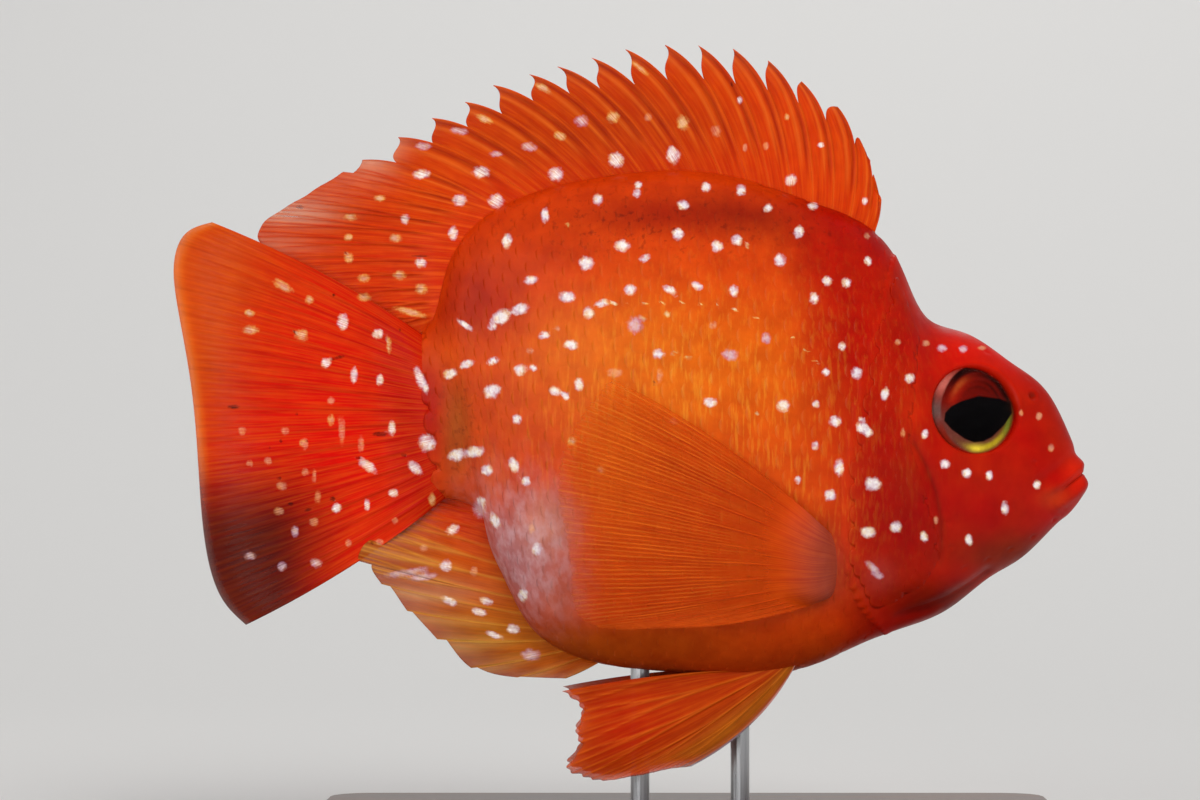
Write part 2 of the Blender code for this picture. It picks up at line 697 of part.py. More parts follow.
def stand_base(material, steps=5):
    """A flat slab with round corners and a bevelled top edge."""
    outlines = []
    for inset, z in ((0, 0), (0, BASE_HEIGHT - BASE_BEVEL), (BASE_BEVEL, BASE_HEIGHT)):
        outline = []
        for corner in range(4):
            for k in range(steps):
                turn = pi / 2 * (corner + k / (steps - 1))
                sign_x = 1 if corner in (0, 3) else -1
                sign_y = 1 if corner in (0, 1) else -1
                radius = BASE_CORNER - inset
                outline.append((sign_x * (BASE_LENGTH / 2 - BASE_CORNER) + radius * cos(turn),
                                sign_y * (BASE_WIDTH / 2 - BASE_CORNER) + radius * sin(turn),
                                z - SWIM_HEIGHT))
        outlines.append(outline)
    count = 4 * steps
    faces = [(j * count + k, j * count + (k + 1) % count, (j + 1) * count + (k + 1) % count,
              (j + 1) * count + k) for j in range(2) for k in range(count)]
    faces.append(tuple(range(count - 1, -1, -1)))
    faces.append(tuple(range(2 * count, 3 * count)))
    return add_object("stand_base", [p for o in outlines for p in o], faces, material)


def main():
    """Builds every node."""
    red = paint("deep_red_skin", (0.55, 0.03, 0.01), 0.35)
    orange = paint("orange_skin", (0.75, 0.16, 0.02), 0.35)
    fin_orange = paint("orange_fin", (0.80, 0.12, 0.02), 0.40)
    eye_dark = paint("dark_eye", (0.02, 0.01, 0.01), 0.10)
    walnut = paint("walnut", (0.13, 0.06, 0.03), 0.45)
    steel = paint("steel", (0.62, 0.62, 0.62), 0.30, 1.0)

    head = body_piece("head", lambda t: 0.12, lambda t: gill_place(t, GAP / 2), 34, 1.3, red, True)
    torso = body_piece("torso", lambda t: gill_place(t, -GAP / 2), lambda t: STALK_START - GAP / 2,
                       26, 1.0, orange)
    body_piece("tail_stalk", lambda t: STALK_START + GAP / 2, lambda t: TAIL_END, 4, 1.0, red)
    for side, word in ((1, "left"), (-1, "right")):
        eye_ball("eye_" + word, side, 0.0, eye_dark)
        cut(head, [eye_ball("socket", side, GAP, None), nostril_cutter(side)])
        pectoral_fin(side, fin_orange)
        pelvic_fin(side, fin_orange)
    cut(head, [mouth_cutter()])
    dorsal_fin(fin_orange)
    anal_fin(fin_orange)
    caudal_fin(red)

    base = stand_base(walnut)
    for word, x in ROD_PLACES:
        belly = belly_z(x, 0.0) + SWIM_HEIGHT
        rod_shape("stand_rod_" + word, x, ROD_RADIUS, BASE_HEIGHT - ROD_IN_BASE, belly + ROD_IN_BODY, steel)
        low, high = BASE_HEIGHT - ROD_IN_BASE - GAP, belly + ROD_IN_BODY + GAP
        cut(base, [rod_shape("bore", x, ROD_RADIUS + GAP, low, BASE_HEIGHT + 2, None)])
        cut(torso, [rod_shape("bore", x, ROD_RADIUS + GAP, belly - 3, high, None)])


for old in list(bpy.data.objects):
    bpy.data.objects.remove(old)
BODY = dense_body()
main()
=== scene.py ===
"""Looks of a blood parrot cichlid model: skin, scales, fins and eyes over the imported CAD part.

Lengths are in millimetres from the fish's own zero level, and become metres when a mesh is made.
The photo's pixels serve as places too: photo() turns them into the same millimetres.
"""

from math import cos, pi, radians, sin

import bmesh
import bpy
import numpy as np
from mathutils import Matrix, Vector
from mathutils.bvhtree import BVHTree


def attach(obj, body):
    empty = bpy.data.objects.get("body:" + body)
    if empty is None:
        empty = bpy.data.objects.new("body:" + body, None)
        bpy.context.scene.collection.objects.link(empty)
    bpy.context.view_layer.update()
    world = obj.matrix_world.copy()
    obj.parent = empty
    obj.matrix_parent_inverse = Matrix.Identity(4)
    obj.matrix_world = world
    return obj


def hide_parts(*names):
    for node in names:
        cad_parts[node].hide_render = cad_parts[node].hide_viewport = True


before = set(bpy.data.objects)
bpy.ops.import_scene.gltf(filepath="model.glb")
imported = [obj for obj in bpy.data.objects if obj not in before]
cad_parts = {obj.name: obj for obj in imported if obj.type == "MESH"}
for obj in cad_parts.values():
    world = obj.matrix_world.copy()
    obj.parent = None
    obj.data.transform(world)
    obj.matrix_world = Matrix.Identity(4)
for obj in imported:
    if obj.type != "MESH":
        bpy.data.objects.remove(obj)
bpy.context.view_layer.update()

MM = 0.001
SWIM_HEIGHT = 49.6  # the fish's zero level over the floor
PIXEL = 0.106  # millimetres
PHOTO_WIDTH = 1200
FRAME_MIDDLE = (600, 400)
ZERO_PIXEL = (690, 400)  # the zero point of the fish in the photo
VIEW_DISTANCE = 450.0  # from the photo's camera to the fish's middle plane
SEED = 7
SIDES = {-1: "_right", 0: "", 1: "_left"}

# The body, as in the CAD source: sections from a point on the back to one on the belly.
STATIONS = (
    (41.8, -8.7, 41.8, -8.7, 0.0),
    (41.4, -6.8, 41.7, -9.8, 1.5),
    (40.5, -4.3, 40.4, -11.8, 2.7),
    (38.4, 0.1, 39.0, -13.0, 3.9),
    (34.2, 3.9, 35.3, -16.6, 5.8),
    (29.5, 7.0, 31.6, -18.9, 7.4),
    (25.3, 8.6, 27.6, -22.0, 8.6),
    (22.4, 14.0, 22.8, -24.1, 9.4),
    (18.6, 18.6, 18.0, -25.9, 10.1),
    (13.3, 20.9, 13.3, -28.0, 10.6),
    (6.3, 23.3, 6.4, -29.3, 10.7),
    (-1.9, 24.4, -1.1, -28.9, 10.2),
    (-9.5, 23.7, -7.4, -28.3, 9.2),
    (-15.9, 22.3, -13.3, -26.7, 7.8),
    (-20.1, 20.6, -17.0, -23.9, 6.5),
    (-23.3, 18.2, -19.6, -19.1, 5.3),
    (-25.8, 14.1, -21.4, -14.8, 4.3),
    (-27.3, 8.7, -22.9, -11.3, 3.4),
    (-28.8, 6.7, -26.3, -10.4, 2.5),
)
WIDEST = 0.47
BACK_FULLNESS = 1.95
BELLY_FULLNESS = 2.15

GILL_EDGE = (
    (21.5, 15.4), (18.9, 7.4), (17.0, 0.0), (15.7, -7.4),
    (15.5, -13.8), (16.2, -18.0), (18.2, -22.3), (20.7, -24.8),
)
MOUTH_FRONT = (42.2, -7.3)
MOUTH_CORNER = (37.9, -10.4)
UPPER_LIP = (0.9, 0.62, 0.36)
LOWER_LIP = (-1.0, 0.70, 0.40)
LIP_FOLD = (2.2, 0.60, -0.16)
NOSTRIL_AT = (36.0, 0.5)
CHEEK_FOLD = ((23.2, -4.6), (24.3, -6.7), (25.4, -9.5), (26.0, -12.7), (26.1, -17.0), (26.7, -19.5))
THROAT_FOLD = ((31.4, -18.1), (29.4, -19.5), (27.0, -20.9), (24.7, -21.8), (21.4, -22.6))
FOLD_WIDTH = 0.65
FOLD_DEPTH = 0.30
LIP_FADE = (4.4, 6.2)  # the lips end there, back from the front of the mouth
# The scales' front end, from the throat to the nape
FACE_LINE = ((17.0, -23.6), (21.5, -21.6), (24.6, -19.8), (26.3, -16.8), (26.0, -12.7),
             (23.2, -4.6), (24.5, 7.0), (21.0, 16.0))
FOLD_ENDS = (20.5, 23.5, -18.5, -14.5)  # the throat's fades to the rear, the cheek's downward
ORBIT_RIM = (0.1, 0.6, 0.14)
GILL_FLARE = 0.40
FLARE_LENGTH = 1.8
HEAD_START = 12.0  # the head's own forms lie ahead of it
# Finer forms of the face, as (width, height)
MOUTH_SLIT = (0.12, -0.22)
NOSTRIL_PIT = (0.30, -0.55)
NOSTRIL_RIM = (0.22, 0.06)
EYE_GROOVE = (0.12, -0.14)
FOLD_CREASE = (0.20, -0.06)
PORE = (0.20, -0.16)
WRINKLE = (0.22, -0.07)
WRINKLE_START = 4.9  # back from the front of the mouth
WRINKLE_PITCH = 0.75
SOCKET_DEPTH = 2.6
GILL_SLIT_BACK = 0.42  # from the gill cover's edge to the slit behind it
GILL_SLIT_WIDTH = 0.24
GILL_SLIT_END = (-27.5, -24)  # the slit fades out there towards the throat
# Painted shade in the mouth slit, the nostrils and the folds, as (width, darkness)
MOUTH_PAINTED_SHADE = (0.11, 0.35)
NOSTRIL_PAINTED_SHADE = (0.28, 0.7)
FOLD_PAINTED_SHADE = (0.25, 0.4)
# Pores of the head's canals, as pixels of the photo
PORES = ((1052, 520), (1030, 536), (1007, 548), (984, 558), (960, 566), (946, 545), (943, 520),
         (1028, 378), (1012, 362), (985, 352), (948, 398), (944, 376), (1046, 448), (1030, 462))

EYE_AT = (29.8, -0.9)
EYE_RADIUS = 4.9
EYE_FRONT = 2.3  # how far the clear front stands out from the eye's widest ring
EYE_BACK = 4.0
EYE_PROUD = 1.1  # how far it stands out from the skin

FIN_LAP = 0.9  # how far the dorsal and anal fins pass behind the tail fin
BEHIND_TAIL = 0.8  # how far to the left they lie there
FIN_SUNK = 0.7  # how far a fin's root lies in the skin
ANAL_SWEEP = 0.20
PECTORAL_SPREAD = 0.40
FLANK_WIDEST = 10.6
SPINE_TIPS = ((19.6, 22.4), (18.1, 26.9), (15.5, 31.1), (11.7, 33.8), (8.2, 36.0), (4.5, 37.3),
              (0.8, 37.7), (-2.7, 37.7), (-6.9, 37.2), (-10.5, 36.3), (-14.1, 35.4), (-17.1, 34.6),
              (-20.9, 33.4), (-23.9, 31.6), (-27.4, 29.9), (-31.0, 27.9), (-34.8, 25.5))
DORSAL_SPINES = len(SPINE_TIPS)
SPINE_BEND = 0.70  # the spines curve back most near their tips
TIP_INSIDE = 0.05  # how far the fine spines' tips stay below the solids'
DORSAL_RAYS = 11
ANAL_SPINES = 6
ANAL_RAYS = 7
CAUDAL_RAYS = 16
PECTORAL_RAYS = 13
PELVIC_RAYS = 6

# The coat
SCALE_PITCH = 1.95  # between the scales of one row, along the body
SCALE_HEIGHT = 3.2
SCALE_LENGTH = 3.0
SCALE_WIDEST = 0.4  # share of its length at which a scale is widest
SCALE_ROOT = 0.72  # its width at the root, as a share of the widest
SCALE_ROUND = 2.6  # 2 would end it in half an ellipse
SCALE_LIFT = 0.014  # how far a scale rises from its root to its free edge
SCALE_THICK = 0.01
SCALE_GRID = 7  # points along a scale, and across it
SCALE_SIZES = (0.93, 1.05)  # each scale's size is drawn from between these
SCALE_SHIFT = 0.03  # and its place moves by about this
CHEEK_SIZE = 0.72  # of the body's scales
CHEEK_LIFT = 0.6
FACE_DEPTH = 0.03  # the naked skin lies this far inside the CAD surface
COAT_DEPTH = 0.08  # and the skin under the scales this far
RING = 384
FRONT_PLACE = 0.03
THIN = 0.1  # keeps shares finite where the body's section ends
FAR_OUT = 60.0  # rays that measure the body start outside it, at the side
FAR_DOWN = -80.0  # or below
UV_SPAN = 0.96
UV_MARGIN = 0.01
UV_SCALE_PATCH = 0.003  # a scale's patch on the unwrap


def photo(px, py):
    """Side-view place in millimetres of a pixel of the photo."""
    return (px - ZERO_PIXEL[0]) * PIXEL, (ZERO_PIXEL[1] - py) * PIXEL


def in_photo(points):
    """Side-view places at which the photo's camera shows points: the nearer flank looks larger."""
    x, y, z = np.moveaxis(points, -1, 0)
    middle_x, middle_z = photo(*FRAME_MIDDLE)
    nearer = VIEW_DISTANCE / (VIEW_DISTANCE - np.abs(y))
    return middle_x + (x - middle_x) * nearer, middle_z + (z - middle_z) * nearer


def linear(*values):
    """Linear colour from 0 to 255 display values."""
    share = np.array(values) / 255
    return np.where(share <= 0.04045, share / 12.92, ((share + 0.055) / 1.055) ** 2.4)


def smooth(low, high, value):
    t = np.clip((value - low) / (high - low), 0, 1)
    return t * t * (3 - 2 * t)


def bump(distance, width, height):
    return height * np.exp(-(distance / width) ** 2)


def spline(knots, rows):
    """Natural cubic through the rows, as a function of places along the knots."""
    knots, rows = np.asarray(knots, float), np.asarray(rows, float)
    step = np.diff(knots)
    count = len(knots)
    matrix, right = np.eye(count), np.zeros_like(rows)
    slope = np.diff(rows, axis=0) / step[:, None]
    for i in range(1, count - 1):
        matrix[i, i - 1:i + 2] = step[i - 1], 2 * (step[i - 1] + step[i]), step[i]
        right[i] = 6 * (slope[i] - slope[i - 1])
    bend = np.linalg.solve(matrix, right)

    def at(place):
        place = np.asarray(place, float)
        i = np.clip(np.searchsorted(knots, place) - 1, 0, count - 2)
        h = step[i][..., None]
        a = (knots[i + 1] - place)[..., None] / h
        b = (place - knots[i])[..., None] / h
        cubic = (a ** 3 - a) * bend[i] + (b ** 3 - b) * bend[i + 1]
        return a * rows[i] + b * rows[i + 1] + cubic * h * h / 6

    return at


def lengths(points):
    return np.concatenate([[0], np.cumsum(np.hypot(*np.diff(points, axis=0).T))])


def by_length(points, rounded=True, samples=200):
    """Line through the points, as a function of the share of its length."""
    dense = np.asarray(points, float)
    if rounded:
        chord = lengths(dense)
        dense = spline(chord, dense)(np.linspace(0, chord[-1], samples))
    run = lengths(dense)
    run /= run[-1]
    return lambda share: np.stack([np.interp(share, run, dense[:, k]) for k in (0, 1)], -1)


def oval(x, z, place):
    """Soft oval of the photo, 1 at its middle. Its place is a pixel, a half-width and a half-height."""
    px, py, wide, high = place
    at_x, at_z = photo(px, py)
    return np.exp(-((x - at_x) / (wide * PIXEL)) ** 2 - ((z - at_z) / (high * PIXEL)) ** 2)


def between(columns, x):
    """0 to 1 between two columns of the photo's pixels."""
    return smooth(*(photo(column, 0)[0] for column in columns), x)


def plain(shape, *paint):
    return np.broadcast_to(linear(*paint), (*shape, 3)).copy()


def shade(base, paint, weight):
    weight = np.asarray(weight)[..., None]
    return base * (1 - weight) + (linear(*paint) if isinstance(paint, tuple) else paint) * weight


def layered(shape, base, *layers):
    """A base colour with others laid over it, each with its weight."""
    tone = plain(shape, *base)
    for paint, weight in layers:
        tone = shade(tone, paint, weight)
    return tone


# Body surface

ROWS = np.array(STATIONS)
HOPS = (np.hypot(*np.diff(ROWS[:, 0:2], axis=0).T) + np.hypot(*np.diff(ROWS[:, 2:4], axis=0).T)) / 2
PLACES = np.concatenate([[0], np.cumsum(HOPS)])
TAIL_END = PLACES[-1]
body_at = spline(PLACES, ROWS)
gill_curve = spline([-p[1] for p in GILL_EDGE], [[p[0]] for p in GILL_EDGE])


def section(place, turn):
    """Points of the plain body: turn 0 is the back, a half turn is the belly, left side first."""
    back_x, back_z, belly_x, belly_z, half_width = np.moveaxis(body_at(place), -1, 0)
    up, out = np.cos(turn), np.sin(turn)
    power = 2 / np.where(up > 0, BACK_FULLNESS, BELLY_FULLNESS)
    rise = np.abs(up) ** power
    share = np.where(up > 0, WIDEST + (1 - WIDEST) * rise, WIDEST * (1 - rise))
    y = np.maximum(half_width, 0) * np.abs(out) ** power * np.where(out < 0, -1, 1)
    return np.stack([belly_x + (back_x - belly_x) * share, y, belly_z + (back_z - belly_z) * share], -1)


def unit(vectors):
    return vectors / np.maximum(np.linalg.norm(vectors, axis=-1, keepdims=True), 1e-9)


def surface(place, turn, step=0.01):
    """Points of the plain body and their outward normals."""
    here = section(place, turn)
    normal = unit(np.cross(section(place + step, turn) - here, section(place, turn + step) - here))
    rows = body_at(place)
    middle = np.stack([(rows[..., 0] + rows[..., 2]) / 2, 0 * here[..., 1],
                       (rows[..., 1] + rows[..., 3]) / 2], -1)
    normal[((here - middle) * normal).sum(-1) < 0] *= -1
    return here, normal


def line_distance(x, z, line):
    """Distance in the side view to a line of points."""
    best = np.full(np.shape(x), 1e9)
    for (ax, az), (bx, bz) in zip(line, line[1:]):
        run_x, run_z = bx - ax, bz - az
        share = np.clip(((x - ax) * run_x + (z - az) * run_z) / (run_x ** 2 + run_z ** 2), 0, 1)
        best = np.minimum(best, np.hypot(x - ax - run_x * share, z - az - run_z * share))
    return best


def mouth_place(x, z):
    """How far back from the front of the mouth a point is, and how far above the mouth line."""
    run = np.subtract(MOUTH_CORNER, MOUTH_FRONT)
    run /= np.hypot(*run)
    dx, dz = x - MOUTH_FRONT[0], z - MOUTH_FRONT[1]
    return dx * run[0] + dz * run[1], dx * run[1] - dz * run[0]


def ahead_of_gill(x, z):
    return x - gill_curve(-z)[..., 0]


def on_side(y):
    """0 about the middle plane and 1 on the fish's sides."""
    return smooth(1.0, 2.5, np.abs(y))


def folds(x, z):
    """The head's two folds, each with how much of it is left at a place."""
    rear_end, rear_full, low_end, low_full = FOLD_ENDS
    return (CHEEK_FOLD, smooth(low_end, low_full, z)), (THROAT_FOLD, smooth(rear_end, rear_full, x))


def relief(points, flare=True):
    """How far the skin stands out from the plain section, as in the solids."""
    x, y, z = np.moveaxis(points, -1, 0)
    side = on_side(y)
    rim_out, rim_width, rim_height = ORBIT_RIM
    from_eye = np.hypot(x - EYE_AT[0], z - EYE_AT[1])
    height = bump(from_eye - EYE_RADIUS - rim_out, rim_width, rim_height) * side
    for fold, share in folds(x, z):
        height += bump(line_distance(x, z, fold), FOLD_WIDTH, -FOLD_DEPTH) * side * share
    back, above = mouth_place(x, z)
    lips = sum(bump(above - place, width, rise) for place, width, rise in (UPPER_LIP, LOWER_LIP, LIP_FOLD))
    height += lips * (1 - smooth(*LIP_FADE, back))
    if flare:
        ahead = ahead_of_gill(x, z)
        edge = GILL_FLARE * np.exp(-np.maximum(0, ahead) / FLARE_LENGTH) * smooth(-0.28, 0.0, ahead)
        height += edge * side
    return np.where(x < HEAD_START, 0.0, height)


def scaled(x, z):
    """1 where the skin carries scales and 0 on the naked face and throat."""
    behind = x < np.interp(z, [p[1] for p in FACE_LINE], [p[0] for p in FACE_LINE])
    return np.where(behind, smooth(0.0, 1.2, line_distance(x, z, FACE_LINE)), 0.0)


def gill_slit(x, z, height, fade):
    """The slit behind the gill cover, which fades towards the nape between two heights."""
    slit = bump(ahead_of_gill(x, z) + GILL_SLIT_BACK, GILL_SLIT_WIDTH, height)
    return slit * smooth(*GILL_SLIT_END, z) * (1 - smooth(*fade, z))


def face_detail(points):
    """Finer forms than the solids carry: mouth slit, nostrils, orbit, gill slit, wrinkles and pores."""
    x, y, z = np.moveaxis(points, -1, 0)
    back, above = mouth_place(x, z)
    slit = bump(above, *MOUTH_SLIT) * (1 - smooth(2.2, 4.2, back))
    pit = np.hypot(x - NOSTRIL_AT[0], z - NOSTRIL_AT[1])
    eye = np.hypot(x - EYE_AT[0], z - EYE_AT[1]) / EYE_RADIUS
    height = bump(pit, *NOSTRIL_PIT) + bump(pit - 0.60, *NOSTRIL_RIM)
    height += bump(eye - 1.02, *EYE_GROOVE) - SOCKET_DEPTH * (1 - smooth(0.80, 0.99, eye))
    height += gill_slit(x, z, -0.22, (13, 16))
    for order in range(3):
        crease = back - WRINKLE_START - WRINKLE_PITCH * order + 0.10 * above ** 2
        height += bump(crease, *WRINKLE) * (1 - smooth(1.0, 2.6, np.abs(above + 0.7 * order)))
    for fold, share in folds(x, z):
        height += bump(line_distance(x, z, fold), *FOLD_CREASE) * share
    for pore in PORES:
        at_x, at_z = photo(*pore)
        height += bump(np.hypot(x - at_x, z - at_z), *PORE)
    return np.where(x < HEAD_START, 0.0, slit + height * on_side(y))


# Meshes

def make(name, points, faces, material, nodes=(), fields=None, uv=None, flat=None):
    """A piece from points in millimetres, with its fields as point attributes."""
    mesh = bpy.data.meshes.new(name)
    points = np.asarray(points, float).reshape(-1, 3) + (0, 0, SWIM_HEIGHT)
    mesh.vertices.add(len(points))
    mesh.vertices.foreach_set("co", (points * MM).astype(np.float32).ravel())
    corners = np.concatenate([np.asarray(f).ravel() for f in faces])
    totals = np.concatenate([np.full(len(f), np.shape(f)[1]) for f in faces])
    mesh.loops.add(len(corners))
    mesh.loops.foreach_set("vertex_index", corners.astype(np.int32))
    mesh.polygons.add(len(totals))
    mesh.polygons.foreach_set("loop_start", (np.cumsum(totals) - totals).astype(np.int32))
    mesh.update(calc_edges=True)
    kinds = {1: ("FLOAT", "value"), 3: ("FLOAT_VECTOR", "vector"), 4: ("FLOAT_COLOR", "color")}
    for key, values in (fields or {}).items():
        values = np.asarray(values, np.float32).reshape(len(points), -1)
        kind, member = kinds[values.shape[1]]
        mesh.attributes.new(key, kind, "POINT").data.foreach_set(member, values.ravel())
    if uv is not None:
        layer = mesh.uv_layers.new(name="OFBake")
        layer.data.foreach_set("uv", uv.astype(np.float32).ravel())
    mesh.validate()
    mesh.materials.append(material)
    mesh.shade_smooth()
    if flat is not None:
        mesh.polygons.foreach_set("use_smooth", ~flat)
    made = bpy.data.objects.new(name, mesh)
    bpy.context.scene.collection.objects.link(made)
    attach(made, "root")
    if nodes:
        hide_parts(*nodes)
    return made


def grid_faces(rows, columns, closed=False, start=0):
    """Quads of a grid of points, row after row."""
    i, k = np.meshgrid(np.arange(rows - 1), np.arange(columns if closed else columns - 1), indexing="ij")
    n = (k + 1) % columns
    quads = np.stack([i * columns + k, i * columns + n, (i + 1) * columns + n, (i + 1) * columns + k], -1)
    return quads.reshape(-1, 4) + start


def cap_faces(start, steps, middle):
    """Triangles from a closed ring of points to the point in its middle."""
    k = np.arange(steps)
    return np.stack([start + k, start + (k + 1) % steps, np.full(steps, middle)], 1)


def sheet_faces(count, wide, start, total):
    """Faces of a closed sheet of count by wide points: its two sides and the wall round it."""
    quads = grid_faces(count, wide, start=start)
    rim = start + np.concatenate([np.arange(count) * wide, (count - 1) * wide + np.arange(1, wide),
                                  np.arange(count - 2, -1, -1) * wide + wide - 1, np.arange(wide - 2, 0, -1)])
    ahead = np.roll(rim, -1)
    wall = np.stack([rim, ahead, ahead + total, rim + total], 1)
    return np.concatenate([quads, quads[:, ::-1] + total]), wall[:, ::-1]


def face_out(made):
    """Turns a closed mesh's faces outward."""
    shaped = bmesh.new()
    shaped.from_mesh(made.data)
    bmesh.ops.recalc_face_normals(shaped, faces=shaped.faces)
    shaped.to_mesh(made.data)
    shaped.free()


# Markings

# Spots of the right side as (pixel across, pixel down, half-width, half-height, lean in degrees).
# A spot with no half-height is round, and one with no lean lies level.
PEARL_SPOTS = (
    (706, 187, 5), (741, 190, 5, 6), (791, 180, 6), (768, 208, 5, 4, 30), (813, 206, 5, 4),
    (868, 261, 4, 5), (799, 232, 5, 7, -20), (780, 260, 6), (717, 246, 6), (737, 240, 6, 5, -30),
    (827, 281, 5), (846, 283, 5), (814, 298, 5, 6), (734, 291, 5, 6), (697, 286, 6, 4, -20),
    (670, 290, 7, 4, -25), (630, 290, 6), (645, 258, 6, 4, 25), (678, 234, 6), (683, 205, 6, 5),
    (638, 185, 4), (637, 193, 4, 5), (598, 199, 5, 6), (622, 246, 8, 6), (586, 263, 7, 7, -20),
    (545, 215, 4, 8), (507, 241, 5, 8), (531, 280, 7, 5, 10), (567, 297, 8, 6), (602, 303, 7, 4, 15),
    (589, 313, 6), (520, 309, 9, 6, 20), (501, 317, 10, 7, 30), (492, 327, 5, 4, 30), (465, 325, 9, 3, -35),
    (544, 335, 6, 4, 20), (571, 345, 7, 5), (658, 354, 6, 5), (710, 402, 7, 5), (783, 406, 7, 6, 20),
    (493, 361, 7, 4, 20), (520, 370, 6), (533, 368, 4), (579, 384, 5, 7), (555, 391, 6, 5), (566, 396, 4),
    (492, 391, 9, 7, 20), (467, 364, 8, 4, 20), (450, 374, 7, 5, 30), (421, 380, 5, 14, 25),
    (427, 443, 9, 9, 20), (415, 468, 9, 5, -40), (457, 455, 9, 6, 10), (474, 452, 10, 6, 10), (517, 419, 5),
    (487, 470, 6, 6, 20), (514, 465, 5, 8, 20), (526, 481, 5), (481, 502, 5, 6, 20), (495, 521, 5, 8, 25),
    (452, 530, 7, 5, 30), (446, 566, 6), (537, 549, 5, 7), (523, 595, 5, 7), (449, 601, 9, 4, -25),
    (486, 601, 7, 4, -20), (479, 612, 8, 4, -15), (513, 629, 7, 5, -10), (494, 635, 9, 3, -20),
    (857, 373, 6), (885, 394, 4, 7, -15), (910, 378, 5, 5, 25), (925, 434, 4, 5, -20), (945, 464, 5),
    (967, 473, 5), (989, 475, 4, 5), (1037, 485, 4, 5), (1005, 508, 4, 7), (862, 427, 6), (868, 432, 5),
    (873, 484, 8, 7), (868, 532, 8, 6), (896, 527, 6), (924, 537, 4, 6, 15), (969, 540, 4, 6, 10),
    (839, 468, 5, 9), (830, 495, 6), (835, 421, 6, 6, 20), (816, 404, 4), (815, 446, 4, 5), (798, 480, 4),
    (842, 346, 4, 5), (826, 372, 4), (862, 419, 3), (616, 160, 8), (673, 155, 7, 9, 15), (556, 174, 8, 7),
    (481, 172, 9, 6), (421, 174, 9, 5), (740, 100, 3, 4), (821, 145, 4, 3), (865, 201, 3, 4),
    (460, 200, 7, 6), (496, 201, 8, 7), (453, 233, 5, 7), (421, 263, 6, 5), (405, 219, 5), (392, 428, 4, 8),
    (368, 466, 10, 5, -35), (393, 493, 5, 4), (367, 504, 3, 7), (337, 508, 5), (380, 380, 4, 6),
    (354, 375, 4, 8), (326, 363, 5), (343, 322, 6, 8), (378, 334, 6, 5, 20),
)
FAINT_SPOTS = (
    (867, 236, 4), (557, 328, 4), (530, 351, 5, 4), (713, 325, 5), (615, 373, 9, 6), (660, 376, 4, 9),
    (474, 571, 5, 6), (674, 421, 6, 5), (532, 529, 4, 6), (926, 343, 5, 4), (898, 342, 4),
    (1039, 416, 4, 5), (1021, 413, 3, 4), (1051, 448, 4, 5), (982, 348, 5, 3), (903, 433, 3, 6),
    (936, 520, 3, 5), (766, 146, 4, 5), (648, 117, 5), (716, 131, 6, 7, 20), (745, 148, 3, 5),
    (395, 521, 4), (380, 542, 5, 4), (361, 444, 4, 10), (342, 430, 4, 16), (305, 472, 4, 5),
    (314, 476, 3, 8), (318, 497, 4, 8), (331, 401, 5), (285, 431, 5), (242, 431, 5), (268, 461, 5),
    (348, 543, 4, 5), (250, 463, 4), (305, 444, 4, 7), (282, 486, 7, 5), (279, 511, 6, 5), (314, 522, 6, 5),
    (424, 548, 5),
)
GOLD_SPOTS = (
    (748, 246, 3), (567, 225, 3), (667, 314, 4), (674, 353, 5, 3, 30), (688, 358, 5, 3), (757, 413, 3),
    (572, 441, 5), (601, 470, 5), (485, 119, 10, 4, -25), (543, 88, 10, 4, -30), (560, 136, 7, 5, -30),
    (613, 117, 7), (683, 123, 7, 8), (787, 117, 3, 4), (640, 68, 12, 3, -40), (395, 238, 7, 5),
    (399, 275, 7, 5), (421, 289, 7, 6), (380, 198, 6, 4), (348, 237, 5, 4), (350, 217, 7, 4),
    (348, 257, 5, 6), (363, 278, 7, 5), (364, 297, 7, 5), (410, 312, 18, 4, -15), (283, 286, 12, 5, -30),
    (309, 300, 5), (302, 335, 7), (389, 345, 3, 9), (249, 313, 6, 4), (331, 420, 4, 6), (303, 443, 4),
    (250, 330, 9, 5), (447, 374, 4), (432, 500, 4, 7), (645, 318, 3), (1005, 345, 3, 2),
)
LILAC_SPOTS = (
    (635, 325, 8, 9), (766, 338, 5, 6), (730, 355, 8, 6), (942, 348, 5, 4), (963, 349, 5, 4),
    (581, 121, 7, 6), (529, 147, 8, 5, -10), (459, 131, 9, 4, -10), (423, 146, 8, 4), (496, 154, 7, 3),
    (873, 568, 10, 4, -45), (878, 575, 6, 4, -20), (316, 563, 6, 5), (282, 566, 5), (295, 532, 4, 6),
    (405, 573, 26, 4, 10), (423, 577, 14, 4, 10), (531, 655, 10, 6), (480, 510, 7, 9, 30), (250, 556, 6, 4),
)
# Small dark marks, mostly on the tail fin
DARK_SPECKS = (
    (233, 407, 7, 2.5), (380, 434, 8, 2.5), (337, 358, 8, 2, 15), (294, 332, 2), (270, 362, 1.5, 2),
    (296, 414, 2), (306, 441, 2.5, 2), (281, 441, 2), (269, 448, 1.5, 2), (358, 458, 3, 2), (333, 499, 3),
    (308, 510, 4, 2, 20), (345, 253, 2), (334, 295, 2), (421, 256, 9, 1.2), (732, 84, 1.5, 3, 20),
    (300, 207, 4, 2), (653, 383, 2, 3), (749, 577, 3, 2), (279, 478, 3, 2), (399, 330, 2), (404, 455, 3, 2),
    (291, 504, 3, 2), (372, 543, 2),
)
# The lateral line's tubes
LATERAL = ((614, 304), (627, 305), (645, 304), (661, 302), (681, 302), (699, 304), (716, 304),
           (736, 310), (755, 317), (773, 326), (791, 337), (806, 350), (816, 362))
GOLD = (240, 196, 104)
SPOT_REACH = 5.0  # no spot shows further off than this
LEFT_SHIFT = 0.45  # how far the left side's spots lie from the right side's
LEFT_SIZES = (0.8, 1.2)


